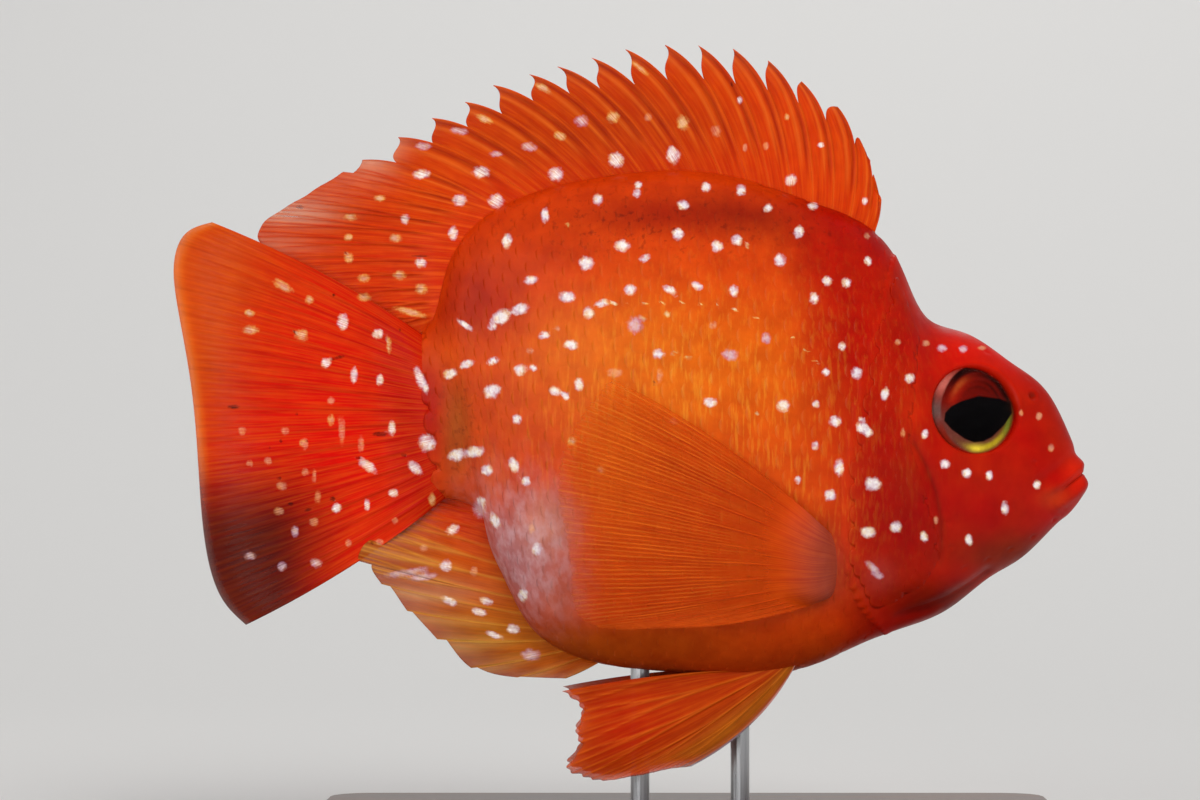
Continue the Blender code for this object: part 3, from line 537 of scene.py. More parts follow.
def spot_table():
    """Every spot as (x, z, half-width, half-height, lean, red, green, blue, strength), in mm."""
    tubes = [(px, py, 5, 1.6, -12) for px, py in LATERAL]
    rows = []
    for spots, colour, strength, size in (
            (PEARL_SPOTS, (245, 232, 226), 1.0, 1.0), (FAINT_SPOTS, (244, 182, 132), 0.55, 0.85),
            (GOLD_SPOTS, GOLD, 0.75, 0.95), (LILAC_SPOTS, (216, 176, 190), 0.8, 1.0),
            (DARK_SPECKS, (38, 12, 6), 0.85, 1.0), (tubes, GOLD, 0.85, 1.0)):
        for px, py, wide, *rest in spots:
            high, lean = rest + [wide, 0][len(rest):]
            rows.append((*photo(px, py), wide * size * PIXEL, high * size * PIXEL, radians(lean),
                         *linear(*colour), strength))
    return np.array(rows)


def jittered(spots, rng):
    """The left side's spots: the same pattern, a little moved and resized."""
    moved = spots.copy()
    moved[:, 0:2] += rng.normal(0, LEFT_SHIFT, (len(spots), 2))
    moved[:, 2:4] *= rng.uniform(*LEFT_SIZES, (len(spots), 2))
    return moved


SPOTS = {-1: spot_table()}
SPOTS[1] = jittered(SPOTS[-1], np.random.default_rng(SEED))
BLANK = (0, 0, 9)  # a spot field where no spot is near


def spot_fields(points, side):
    """Each point's place in its nearest spot, and that spot's colour, for the shader to draw."""
    x, z = in_photo(points)
    best = np.full(len(points), 1e9)
    place = np.tile(np.array(BLANK, float), (len(points), 1))
    colour = np.zeros((len(points), 4))
    for at_x, at_z, wide, high, lean, *paint in SPOTS[side]:
        near = np.flatnonzero((np.abs(x - at_x) < SPOT_REACH) & (np.abs(z - at_z) < SPOT_REACH))
        dx, dz = x[near] - at_x, z[near] - at_z
        a = (dx * cos(lean) + dz * sin(lean)) / wide
        b = (dz * cos(lean) - dx * sin(lean)) / high
        reach = np.hypot(a, b)
        closer = reach < best[near]
        hit = near[closer]
        best[hit] = reach[closer]
        place[hit] = np.stack([a, b, reach], 1)[closer]
        colour[hit] = paint
    return place, colour


# Soft patches of colour on the body as (pixel across, pixel down, half-width, half-height, colour, strength)
BODY_PATCHES = (
    (680, 375, 150, 75, (238, 112, 14), 0.85),  # gold flank
    (590, 345, 70, 40, (232, 104, 16), 0.7),
    (720, 500, 120, 90, (226, 84, 8), 0.7),
    (640, 400, 60, 90, (236, 120, 20), 0.4),
    (640, 215, 80, 20, (164, 26, 6), 0.75),  # dark band of the upper back
    (745, 212, 80, 26, (150, 20, 5), 0.9),
    (828, 240, 45, 45, (150, 12, 2), 0.8),
    (815, 360, 26, 60, (204, 44, 3), 0.6),
    (560, 250, 40, 16, (170, 34, 8), 0.5),
    (500, 235, 80, 44, (206, 56, 4), 0.75),  # rear flank
    (474, 306, 58, 44, (172, 22, 3), 0.85),
    (500, 425, 40, 40, (196, 66, 20), 0.5),
    (455, 350, 40, 25, (226, 76, 12), 0.5),
    (420, 400, 22, 42, (176, 22, 5), 0.9),  # root of the tail
    (457, 430, 16, 52, (158, 80, 24), 0.75),
    (446, 360, 20, 12, (222, 80, 16), 0.5),
    (427, 425, 17, 52, (190, 16, 4), 0.9),
    (518, 558, 54, 64, (190, 122, 122), 0.95),  # silvery mauve patch
    (548, 522, 30, 34, (206, 138, 120), 0.75),
    (560, 600, 30, 40, (190, 108, 84), 0.5),
    (490, 480, 18, 30, (210, 96, 60), 0.5),
    (640, 645, 130, 28, (186, 76, 10), 0.85),  # lower belly
    (560, 655, 60, 26, (178, 84, 14), 0.8),
    (760, 640, 60, 26, (196, 60, 8), 0.6),
    (820, 562, 24, 32, (168, 78, 52), 0.8),  # fleshy base of the pectoral fin
)
HEAD_PATCHES = (
    (895, 330, 60, 60, (182, 10, 0), 0.7),
    (985, 352, 60, 26, (224, 14, 2), 0.8),  # brow
    (1045, 420, 40, 50, (176, 5, 0), 0.8),
    (905, 425, 12, 60, (214, 42, 6), 0.55),
    (905, 500, 48, 70, (156, 4, 0), 0.85),  # cheek and gill cover
    (985, 505, 60, 50, (172, 6, 0), 0.85),
    (1074, 472, 16, 26, (214, 24, 4), 0.8),  # lips
    (1050, 497, 18, 11, (196, 52, 14), 0.75),  # corner of the mouth
    (1010, 552, 66, 22, (120, 26, 3), 0.85),  # lower jaw
    (930, 598, 80, 22, (112, 10, 1), 0.85),
    (856, 600, 40, 26, (176, 20, 4), 0.7),
    (874, 572, 16, 16, (176, 70, 62), 0.4),
    (842, 500, 16, 50, (190, 34, 6), 0.6),
)


# Pixel columns between which the head's colours pass into the body's
HEAD_COLUMNS = (780, 858)
# Soft ovals of the shader's weights, as (pixel across, pixel down, half-width, half-height)
STREAKED_FLANK = (680, 400, 150, 100)
STREAKED_BELLY = (720, 520, 110, 70)
DUSKY_BACK = (650, 225, 150, 34)
DUSKY_TAIL_ROOT = (460, 430, 30, 60)
DUSKY_NAPE = (830, 210, 50, 40)
DUSKY_REAR = (474, 306, 50, 40)
SILVER_BELLY = (520, 550, 50, 60)


def patches(x, z, colour, table):
    """Lays soft patches over a colour."""
    for px, py, wide, high, paint, strength in table:
        at_x, at_z = photo(px, py)
        dx, dz = (x - at_x) / (wide * PIXEL), (z - at_z) / (high * PIXEL)
        colour = shade(colour, paint, strength * np.exp(-(dx ** 2 + dz ** 2) ** 1.3))
    return colour


def body_tone(points, share):
    """Colour of the skin. Share is 0 on the belly and 1 on the back."""
    x, z = points[:, 0], points[:, 2]
    body = patches(x, z, plain(x.shape, 220, 66, 8), BODY_PATCHES)
    body = shade(body, (212, 56, 3), 0.85 * smooth(0.92, 0.985, share))
    body = shade(body, (176, 60, 12), 0.5 * smooth(0.10, 0.0, share))
    head = patches(x, z, plain(x.shape, 184, 8, 0), HEAD_PATCHES)
    return shade(body, head, between(HEAD_COLUMNS, x + 0.12 * z))


def body_zone(points):
    """Weights for the shader: gold streaks of the flank, dusky grain and silvery sheen."""
    x, z = points[:, 0], points[:, 2]
    streak = oval(x, z, STREAKED_FLANK) + 0.7 * oval(x, z, STREAKED_BELLY)
    dusk = (oval(x, z, DUSKY_BACK) + 0.8 * oval(x, z, DUSKY_TAIL_ROOT)
            + 0.6 * oval(x, z, DUSKY_NAPE) + 0.2 * oval(x, z, DUSKY_REAR))
    return np.clip(np.stack([streak, dusk, oval(x, z, SILVER_BELLY)], 1), 0, 1)


def painted_recess_shade(points):
    """Painted shade in the hollows: how much darker the mouth slit, the nostrils, the gill slit and the folds
    are.
    """
    x, y, z = points.T
    back, above = mouth_place(x, z)
    slit = bump(above, *MOUTH_PAINTED_SHADE) * (1 - smooth(2.8, 4.4, back))
    pit = bump(np.hypot(x - NOSTRIL_AT[0], z - NOSTRIL_AT[1]), *NOSTRIL_PAINTED_SHADE)
    creases = [bump(line_distance(x, z, fold), *FOLD_PAINTED_SHADE) * share for fold, share in folds(x, z)]
    dark = np.maximum.reduce([pit, gill_slit(x, z, 0.20, (10, 14)), *creases]) * on_side(y)
    return np.where(x > HEAD_START, np.clip(np.maximum(slit, dark), 0, 1), 0)


# Shaders

class Shader:
    """A material's node tree, with short calls for its nodes."""

    def __init__(self, name):
        self.material = bpy.data.materials.new(name)
        self.material.use_nodes = True
        self.tree = self.material.node_tree
        self.main = self.tree.nodes["Principled BSDF"]

    def put(self, socket, value):
        if isinstance(value, bpy.types.NodeSocket):
            self.tree.links.new(value, socket)
        elif np.size(value) == 3 and len(socket.default_value) == 4:
            socket.default_value = (*value, 1)
        else:
            socket.default_value = value

    def node(self, kind, out=0, settings=None, **inputs):
        made = self.tree.nodes.new(kind)
        for key, value in (settings or {}).items():
            setattr(made, key, value)
        for key, value in inputs.items():
            index = int(key[1:]) if key[1:].isdigit() else key.replace("_", " ")
            self.put(made.inputs[index], value)
        return made.outputs[out]

    def math(self, operation, a, b=0.0, clamp=False):
        return self.node("ShaderNodeMath", settings={"operation": operation, "use_clamp": clamp}, i0=a, i1=b)

    def times(self, *factors):
        """Product of values, worked out from the last one."""
        *rest, product = factors
        for factor in reversed(rest):
            product = self.math("MULTIPLY", factor, product)
        return product

    def mix(self, factor, a, b, blend="MIX"):
        made = self.tree.nodes.new("ShaderNodeMix")
        made.data_type = "RGBA"
        made.blend_type = blend
        for name, value in (("Factor_Float", factor), ("A_Color", a), ("B_Color", b)):
            self.put(next(s for s in made.inputs if s.identifier == name), value)
        return next(s for s in made.outputs if s.identifier == "Result_Color")

    def tint(self, colour, paint, *weights, blend="MIX"):
        """Lays a paint over a colour by the product of its weights."""
        return self.mix(self.times(*weights), colour, linear(*paint), blend)

    def range(self, value, low, high, to_low=0.0, to_high=1.0, smooth_step=False):
        kind = {"interpolation_type": "SMOOTHSTEP"} if smooth_step else None
        return self.node("ShaderNodeMapRange", settings=kind, Value=value, From_Min=low, From_Max=high,
                         To_Min=to_low, To_Max=to_high)

    def field(self, name, out="Color"):
        return self.node("ShaderNodeAttribute", out=out, settings={"attribute_name": name})

    def split(self, vector):
        made = self.tree.nodes.new("ShaderNodeSeparateXYZ")
        self.put(made.inputs[0], vector)
        return made.outputs

    def bumps(self, strength, distance, height):
        return self.node("ShaderNodeBump", Strength=strength, Distance=distance, Height=height)

    def noise(self, scale, detail=3.0, stretch=None, source=None, roughness=0.55):
        """Noise of so many cells a metre, or a unit of its source, stretched by its axes."""
        vector = source or self.node("ShaderNodeTexCoord", out="Object")
        if stretch:
            vector = self.node("ShaderNodeVectorMath", settings={"operation": "MULTIPLY"},
                               i0=vector, i1=stretch)
        return self.node("ShaderNodeTexNoise", Vector=vector, Scale=scale, Detail=detail, Roughness=roughness)

    def finish(self, **inputs):
        for key, value in inputs.items():
            self.put(self.main.inputs[key.replace("_", " ")], value)
        return self.material


def draw_spots(shader, colour, ragged=0.9, weave=None):
    """Lays the pearl spots over a colour and returns it with the spots' mask."""
    across, along, reach = shader.split(shader.field("spot", "Vector"))
    distance = shader.math("POWER", shader.math("ADD", shader.times(across, across),
                                                 shader.times(along, along)), 0.5)
    distance = shader.math("MAXIMUM", distance, shader.times(reach, 0.93))
    edge = shader.times(shader.math("SUBTRACT", shader.noise(1900, 3), 0.5), ragged)
    distance = shader.math("ADD", distance, edge)
    mask = shader.range(distance, 1.18, 0.50, smooth_step=True)
    core = shader.range(distance, 0.85, 0.10, smooth_step=True)
    grain = shader.range(shader.noise(3600, 2), 0.30, 0.62, 0.75, 1.0)
    if weave:
        grain = shader.times(grain, shader.range(weave, 0.34, 0.58, 0.35, 1.0))
    strength = shader.field("pearl", "Alpha")
    mask = shader.times(mask, strength, grain)
    pearl = shader.field("pearl")
    tint = shader.noise(1100, 2)
    paint = shader.tint(pearl, (206, 176, 206), shader.range(tint, 0.48, 0.62, 0.0, 0.75), blend="MULTIPLY")
    paint = shader.tint(paint, (250, 214, 132), shader.range(tint, 0.50, 0.38, 0.0, 0.65), blend="MULTIPLY")
    white = shader.times(core, shader.range(strength, 0.6, 1.0, 0.10, 0.75))
    white = shader.times(white, shader.range(shader.split(pearl)[0], 0.1, 0.5))
    return shader.mix(mask, colour, shader.tint(paint, (255, 250, 242), white)), mask


def skin_material():
    shader = Shader("fish_skin")
    colour = shader.field("tone")
    streak, dusk, silver = shader.split(shader.field("zone", "Vector"))
    along, _, chance = shader.split(shader.field("scale", "Vector"))
    cloud = shader.noise(170, 4)
    warm = shader.math("ADD", shader.times(streak, 0.24), 0.08)
    colour = shader.tint(colour, (236, 96, 12), shader.range(cloud, 0.35, 0.70), warm)
    colour = shader.tint(colour, (206, 170, 160), shader.range(shader.noise(420, 4), 0.30, 0.70, 0.0, 0.55),
                         blend="MULTIPLY")
    colour = shader.tint(colour, (190, 150, 140), shader.range(chance, 0, 1, 0.0, 0.10), blend="MULTIPLY")
    for source, low, high, paint, weights in (
            ((1.0, 3, (2600, 2600, 380)), 0.50, 0.72, (246, 164, 44), (streak, 0.42)),
            (along, 0.80, 1.0, (246, 170, 60), (streak, 0.14)),
            ((1500, 3), 0.56, 0.70, (84, 14, 6), (dusk, 0.6)),
            ((900, 3, (1, 1, 0.6)), 0.42, 0.66, (214, 176, 178), (silver, 0.55))):
        value = shader.noise(*source) if isinstance(source, tuple) else source
        colour = shader.tint(colour, paint, shader.range(value, low, high), *weights)
    colour = draw_spots(shader, colour)[0]
    rough = shader.range(shader.noise(700, 3), 0.3, 0.7, 0.34, 0.50)
    ridges = shader.math("SINE", shader.times(along, 80.0))
    height = shader.math("ADD", shader.noise(2600, 3), shader.times(ridges, 0.06))
    normal = shader.bumps(0.25, 0.00006, height)
    return shader.finish(Base_Color=colour, Roughness=rough, Normal=normal, Coat_Weight=0.04,
                         Coat_Roughness=0.16, IOR=1.33, Specular_IOR_Level=0.14, Subsurface_Weight=0.10,
                         Subsurface_Radius=(1.0, 0.28, 0.12), Subsurface_Scale=0.0012)


def fin_material(name, hairs=0):
    """Thin rayed skin. Its flow field runs across the rays and along them.

    Hairs is how many fine lines it shows between two rays.
    """
    shader = Shader(name)
    flow = shader.field("flow", "Vector")

    def streaks(across, along, detail=3):
        return shader.noise(1.0, detail, (across, along, 1.0), flow)

    colour, alpha = shader.field("tone"), shader.field("tone", "Alpha")
    fibres = shader.range(streaks(9.0, 0.35), 0.40, 0.68)
    bright = shader.range(shader.split(colour)[0], 0.05, 0.45, 0.05, 0.22)
    colour = shader.tint(colour, (244, 116, 20), fibres, bright)
    colour = shader.tint(colour, (140, 18, 3), shader.range(streaks(5.0, 0.25, 2), 0.52, 0.70), 0.24)
    colour = shader.tint(colour, (214, 180, 170), shader.range(shader.noise(500, 4), 0.3, 0.7, 0.0, 0.32),
                         blend="MULTIPLY")
    if hairs:
        across, along, _ = shader.split(flow)
        sway = shader.times(streaks(2.0, 0.5, 2), 6.0)
        wave = shader.math("SINE", shader.math("ADD", shader.times(across, 2 * pi * hairs), sway))
        hair = shader.times(shader.range(wave, 0.1, 0.9), shader.range(along, 1.5, 5.5))
        hair = shader.times(hair, shader.range(fibres, 0.0, 1.0, 0.35, 1.0))
        colour = shader.tint(colour, (244, 146, 44), hair, 0.36)
        alpha = shader.math("ADD", alpha, shader.times(hair, 0.22), clamp=True)
    colour, mask = draw_spots(shader, colour, 1.0, streaks(20.0, 0.9))
    alpha = shader.math("MAXIMUM", alpha, mask)
    normal = shader.bumps(0.3, 0.00008, streaks(12.0, 0.5))
    return shader.finish(Base_Color=colour, Alpha=alpha, Roughness=0.45, Normal=normal, Coat_Weight=0.02,
                         Coat_Roughness=0.2, IOR=1.33, Specular_IOR_Level=0.10)


def eye_material():
    shader = Shader("eye_iris")
    grain = shader.range(shader.noise(3200, 3), 0.3, 0.7, 0.0, 0.5)
    colour = shader.tint(shader.field("tone"), (210, 190, 180), grain, blend="MULTIPLY")
    return shader.finish(Base_Color=colour, Roughness=0.55, Specular_IOR_Level=0.03)


def cornea_material():
    shader = Shader("eye_cornea")
    return shader.finish(Base_Color=(1.0, 0.97, 0.95), Roughness=0.0, IOR=1.04, Transmission_Weight=1.0,
                         Alpha=0.35)


def walnut():
    shader = Shader("stand_walnut")
    grain = shader.noise(1.0, 4, (7, 170, 170))
    rings = shader.range(shader.math("FRACT", shader.times(grain, 5.0)), 0.1, 0.9)
    colour = shader.mix(rings, linear(62, 36, 22), linear(104, 64, 38))
    pores = shader.range(shader.noise(1.0, 2, (260, 3600, 3600)), 0.60, 0.68)
    colour = shader.tint(colour, (30, 16, 10), pores, 0.6)
    rough = shader.range(grain, 0.3, 0.7, 0.34, 0.46)
    normal = shader.bumps(0.2, 0.0001, shader.math("SUBTRACT", 1.0, pores))
    return shader.finish(Base_Color=colour, Roughness=rough, Normal=normal, Coat_Weight=0.15,
                         Coat_Roughness=0.3)


def steel():
    shader = Shader("stand_brushed_steel")
    lines = shader.noise(1.0, 3, (4000, 4000, 160))
    colour = shader.mix(shader.range(lines, 0.3, 0.7), linear(176, 178, 180), linear(206, 207, 208))
    rough = shader.range(lines, 0.3, 0.7, 0.26, 0.42)
    normal = shader.bumps(0.15, 0.00004, lines)
    return shader.finish(Base_Color=colour, Roughness=rough, Normal=normal, Metallic=1.0)


SKIN = skin_material()
FIN = fin_material("fish_fin")
PECTORAL_SKIN = fin_material("fish_pectoral", 6)
EYE = eye_material()
CORNEA = cornea_material()


# Skin and scales

# Places along the body, and how far apart the skin's rows are there
ROW_PLACES = (0.0, 0.4, 7.0, 9.0, 30.0, 34.0)
ROW_STEPS = (0.03, 0.13, 0.13, 0.26, 0.26, 0.6)


def skin_places():
    """Places of the skin's rows: close together on the snout and head."""
    steps, place = [FRONT_PLACE], FRONT_PLACE
    while place < TAIL_END:
        place += np.interp(place, ROW_PLACES, ROW_STEPS)
        steps.append(min(place, TAIL_END))
    return np.array(steps)


def skin_fields(points, share, sides):
    """Colour, shader weights and spots of points of the skin or the scales."""
    spot, pearl = np.zeros((len(points), 3)), np.zeros((len(points), 4))
    for side in (-1, 1):
        own = sides == side
        spot[own], pearl[own] = spot_fields(points[own], side)
    return {"tone": body_tone(points, share), "zone": body_zone(points), "spot": spot, "pearl": pearl}


def back_share(points, rows):
    """0 on the belly and 1 on the back, from the body's rows at the points' places."""
    return (points[..., 2] - rows[..., 3]) / np.maximum(rows[..., 1] - rows[..., 3], THIN)


def skin():
    """One skin over head, torso and tail stalk."""
    places = skin_places()
    count, total = len(places), len(places) * RING
    place, turn = np.meshgrid(places, 2 * pi * np.arange(RING) / RING, indexing="ij")
    here, normal = surface(place, turn)
    depth = FACE_DEPTH + (COAT_DEPTH - FACE_DEPTH) * scaled(here[..., 0], here[..., 2])
    points = here + normal * (relief(here) + face_detail(here) - depth)[..., None]
    flat = points.reshape(-1, 3)
    fields = skin_fields(flat, back_share(here, body_at(place)).ravel(), np.where(flat[:, 1] < 0, -1, 1))
    # Painted shade darkens the mouth slit, the nostrils, the gill slit and the folds
    fields["tone"] = shade(fields["tone"], (70, 6, 3), painted_recess_shade(flat))
    fields = {key: np.concatenate([values, values[[0, -1]]]) for key, values in fields.items()}
    flat = np.concatenate([flat, [points[0].mean(0), points[-1].mean(0)]])
    fields["tone"] = np.column_stack([fields["tone"], np.ones(len(flat))])
    fields["scale"] = np.tile((0.0, 0.0, 0.5), (len(flat), 1))
    faces = [grid_faces(count, RING, True), cap_faces(0, RING, total)[:, ::-1],
             cap_faces(total - RING, RING, total + 1)]
    along = np.append(place / TAIL_END, [0, 1])
    around = np.append(turn / (2 * pi), [0, 0])
    uv = []
    for corners in faces:
        v = around[corners]
        wraps = np.ptp(v, axis=1) > 0.5
        v[wraps] = np.where(v[wraps] < 0.5, v[wraps] + 1, v[wraps])
        uv.append(np.stack([along[corners], v], -1).reshape(-1, 2))
    uv = np.concatenate(uv) * UV_SPAN + UV_MARGIN
    make("fish_skin", flat, faces, SKIN, ("head", "torso", "tail_stalk"), fields, uv)


# The scales' first and last places along the body
BODY_RUN = (17.0, TAIL_END - 2.0)
CHEEK_RUN = (10.0, 40.0)
# Turn of the body at a distance up or down from its widest line, as a table
TABLE_PLACES = np.linspace(3.0, TAIL_END, 500)
TABLE_RISES = np.linspace(-45, 45, 721)


def turn_table():
    turns = np.linspace(0, pi, 361)
    place, turn = np.meshgrid(TABLE_PLACES, turns, indexing="ij")
    points = section(place, turn)
    run = np.linalg.norm(np.diff(points, axis=1), axis=-1)
    run = np.concatenate([np.zeros((len(run), 1)), np.cumsum(run, 1)], 1)
    rise = run[:, 180:181] - run
    table = np.array([np.interp(TABLE_RISES, r[::-1], turns[::-1]) for r in rise])
    return table, rise[:, 0], rise[:, -1]


TURNS, TOP_RISE, LOW_RISE = turn_table()


def turn_at(place, rise):
    """Turn of the left side at a place and a rise along the skin from its widest line."""
    def cell(value, table):
        share = np.clip((value - table[0]) / (table[1] - table[0]), 0, len(table) - 1.001)
        return share.astype(int), share % 1

    (i, a), (k, b) = cell(place, TABLE_PLACES), cell(rise, TABLE_RISES)
    return ((TURNS[i, k] * (1 - b) + TURNS[i, k + 1] * b) * (1 - a)
            + (TURNS[i + 1, k] * (1 - b) + TURNS[i + 1, k + 1] * b) * a)


def scale_roots(pitch, height, first, last):
    """Roots of scales in courses along the body, every second course half a scale higher."""
    roots = []
    course = 0
    place = first
    while place < last:
        top = np.interp(place, TABLE_PLACES, TOP_RISE)
        low = np.interp(place, TABLE_PLACES, LOW_RISE)
        offset = height / 2 * (course % 2)
        for rise in np.arange(-40, 40) * height + offset:
            if low + 0.25 * height < rise < top - 0.25 * height:
                roots.append((place, rise))
        place += pitch / 2
        course += 1
    return np.array(roots)


def scales(side, on_head):
    """Overlapping plates as one joined mesh, each a thin closed body with its free edge to the rear."""
    size = CHEEK_SIZE if on_head else 1.0
    lift = SCALE_LIFT * (CHEEK_LIFT if on_head else 1.0)
    roots = scale_roots(SCALE_PITCH * size, SCALE_HEIGHT * size, *(CHEEK_RUN if on_head else BODY_RUN))
    a = 0.995 * (1 - (1 - np.linspace(0, 1, SCALE_GRID)) ** 1.25)
    a, b = np.meshgrid(a, np.linspace(-1, 1, SCALE_GRID), indexing="ij")
    behind = np.abs((a - SCALE_WIDEST) / (1 - SCALE_WIDEST))
    half = np.where(a > SCALE_WIDEST, (1 - behind ** SCALE_ROUND) ** (1 / SCALE_ROUND),
                    SCALE_ROOT + (1 - SCALE_ROOT) * a / SCALE_WIDEST)
    grow = rng.uniform(*SCALE_SIZES, (len(roots), 1, 1))
    shift = rng.normal(0, SCALE_SHIFT, (len(roots), 2, 1, 1))
    place = roots[:, 0, None, None] + shift[:, 0] + a * SCALE_LENGTH * size * grow
    rise = roots[:, 1, None, None] + shift[:, 1] + b * half * SCALE_HEIGHT * size / 2 * 0.97 * grow
    top = np.interp(place, TABLE_PLACES, TOP_RISE) - 0.02
    low = np.interp(place, TABLE_PLACES, LOW_RISE) + 0.02
    turn = turn_at(place, np.clip(rise, low, top))
    if side < 0:
        turn = 2 * pi - turn
    here, normal = surface(place, turn)
    keep = scale_kept(here, on_head)
    here, normal = here[keep], normal[keep]
    count, cells = len(here), SCALE_GRID ** 2
    out = relief(here, on_head) - lift * (1 - a) - 0.02 * b ** 2
    if on_head:
        out -= 0.06 * (1 - scaled(here[..., 0], here[..., 2]))
    skins = [here + normal * (out - deep)[..., None] for deep in (0, SCALE_THICK)]
    flat = np.concatenate([points.reshape(count, cells, 3) for points in skins], 1).reshape(-1, 3)
    sheets, walls = sheet_faces(SCALE_GRID, SCALE_GRID, 0, cells)
    one = np.concatenate([sheets, walls[::-1, [1, 0, 3, 2]]])  # the rim runs the other way round here
    if side > 0:
        one = one[:, ::-1]
    faces = (one[None] + (np.arange(count) * 2 * cells)[:, None, None]).reshape(-1, 4)
    every = np.repeat(np.arange(count), 2 * cells)
    rows = body_at(np.repeat(place[keep].reshape(count, cells), 2, 0).reshape(-1))
    fields = skin_fields(flat, np.clip(back_share(flat, rows), 0, 1), np.full(len(flat), side))
    local = np.tile(np.stack([a.ravel(), b.ravel()], 1), (2 * count, 1))
    fields["tone"] = np.column_stack([fields["tone"], np.ones(len(flat))])
    fields["scale"] = np.column_stack([local, rng.uniform(0, 1, count)[every]])
    u = (roots[keep, 0] / TAIL_END)[every] + (local[:, 0] - 0.5) * UV_SCALE_PATCH
    v = turn[keep, 0, SCALE_GRID // 2][every] / (2 * pi) + local[:, 1] / 2 * UV_SCALE_PATCH
    uv = (np.column_stack([u, v]) * UV_SPAN + UV_MARGIN)[faces.ravel()]
    on_wall = np.tile(np.arange(len(one)) >= len(sheets), count)
    name, slot = ("cheek_scales", "head_skin") if on_head else ("scales", "body_skin")
    make(name + SIDES[side], flat, [faces], SKIN, (), fields, uv, on_wall)


def scale_kept(here, on_head):
    """Leaves out scales that would lie on the naked face, under the gill cover or in a fin's root."""
    middle = SCALE_GRID // 2
    x, z = here[:, 0, middle, 0], here[:, 0, middle, 2]
    end_x, end_z = here[:, -1, middle, 0], here[:, -1, middle, 2]
    ahead = ahead_of_gill(x, z)
    if on_head:
        return (scaled(x, z) > 0.05) & (ahead_of_gill(end_x, end_z) > 0.35) & (ahead > 0)
    return (ahead < 1.9) & (end_x > body_at(TAIL_END)[2] - 2.6)


# Fins

DORSAL_ROOT = ((19.9, 17.7), (-19.8, 20.7))  # first and last place on the back
SOFT_ROOT = ((-20.4, 20.4), (-27.5, 8.1))
SOFT_MARGIN = ((-36.9, 24.2), (-40.9, 21.7), (-44.6, 19.5), (-46.8, 17.9))
ANAL_ROOT = ((-9.1, -28.5), (-23.0, -11.2))
ANAL_MARGIN = ((-13.2, -29.5), (-19.2, -29.4), (-23.6, -28.3), (-29.2, -23.2))
CAUDAL_MARGIN = ((-50.8, 18.9), (-53.2, 18.1), (-54.6, 16.0), (-54.9, 13.2), (-54.3, 9.0), (-53.4, 4.0),
                 (-52.6, -3.0), (-52.0, -10.6), (-51.0, -18.0), (-49.6, -21.4), (-47.2, -23.9))
PECTORAL_ROOT = ((15.1, -14.6), (15.5, -17.3), (14.9, -20.3))
PECTORAL_MARGIN = ((-8.4, 2.3), (-12.3, -2.9), (-14.0, -9.2), (-13.4, -13.0), (-12.7, -17.4),
                   (-11.6, -22.8), (-6.1, -23.9), (1.1, -23.6))
PELVIC_ROOT = (11.1, 9.5, 7.9)  # along the belly
PELVIC_MARGIN = ((0.0, -38.5), (-7.0, -39.7), (-13.0, -39.5), (-13.0, -36.4), (-12.0, -33.3), (-13.9, -30.7))
# Pixel columns and rows between which a fin's colours change
SOFT_COLUMNS = (440, 370)
DORSAL_FRONT_COLUMNS = (700, 800)
TAIL_PAINTED_SHADE_COLUMNS = (370, 270)
TAIL_PAINTED_SHADE_ROWS = (430, 540)
# Soft ovals of colour on the fins, as (pixel across, pixel down, half-width, half-height)
DORSAL_BROWN = (600, 130, 140, 50)
DORSAL_RED = (400, 270, 90, 60)
ANAL_OLIVE = (480, 640, 80, 34)
ANAL_PALE = (420, 592, 50, 14)
TAIL_PALE_TOP = (215, 250, 60, 70)
TAIL_PALE_EDGE = (195, 340, 40, 90)
TAIL_RED = (330, 440, 90, 110)
PECTORAL_GOLD = (600, 450, 60, 90)
PECTORAL_LOW = (650, 610, 80, 40)
PECTORAL_RED = (740, 500, 60, 50)
PELVIC_RED = (620, 720, 50, 40)


def fan(root, tip, count, bow, root_share=lambda t: t, bend_at=0.5):
    """Evenly spread rays between a root line and a line of tips, bowed to one side.

    Bend_at is the share of its length at which a ray is pulled aside.
    """
    rays = []
    for k in range(count):
        t = k / (count - 1)
        start, end = root(root_share(t)), tip(t)
        run = end - start
        rays.append((start, start + run * bend_at + np.array([-run[1], run[0]]) * bow(t), end))
    return rays


def body_line(first, last, belly):
    """Root line of a fin, sunk in the back or belly between two places."""
    column = 2 if belly else 0
    line = body_at(np.linspace(0, TAIL_END, 800))[:, column:column + 2]
    start, end = (int(np.argmin(np.hypot(*(line - place).T))) for place in (first, last))
    line = line[start:end + 1]
    run = np.gradient(line, axis=0)
    inward = np.stack([run[:, 1], -run[:, 0]], 1) * (1 if belly else -1)
    return by_length(line + inward / np.hypot(*inward.T)[:, None] * FIN_SUNK, False)


def curve(root, bend, tip, u):
    return root * (1 - u) ** 2 + 2 * bend * u * (1 - u) + tip * u ** 2


def beside(ray, shares, gap):
    """Points that keep a gap to one side of a ray."""
    root, bend, tip = ray
    points = []
    for u in shares:
        run = 2 * (1 - u) * (bend - root) + 2 * u * (tip - bend)
        points.append(curve(*ray, u) + np.array([run[1], -run[0]]) / np.hypot(*run) * gap)
    return points


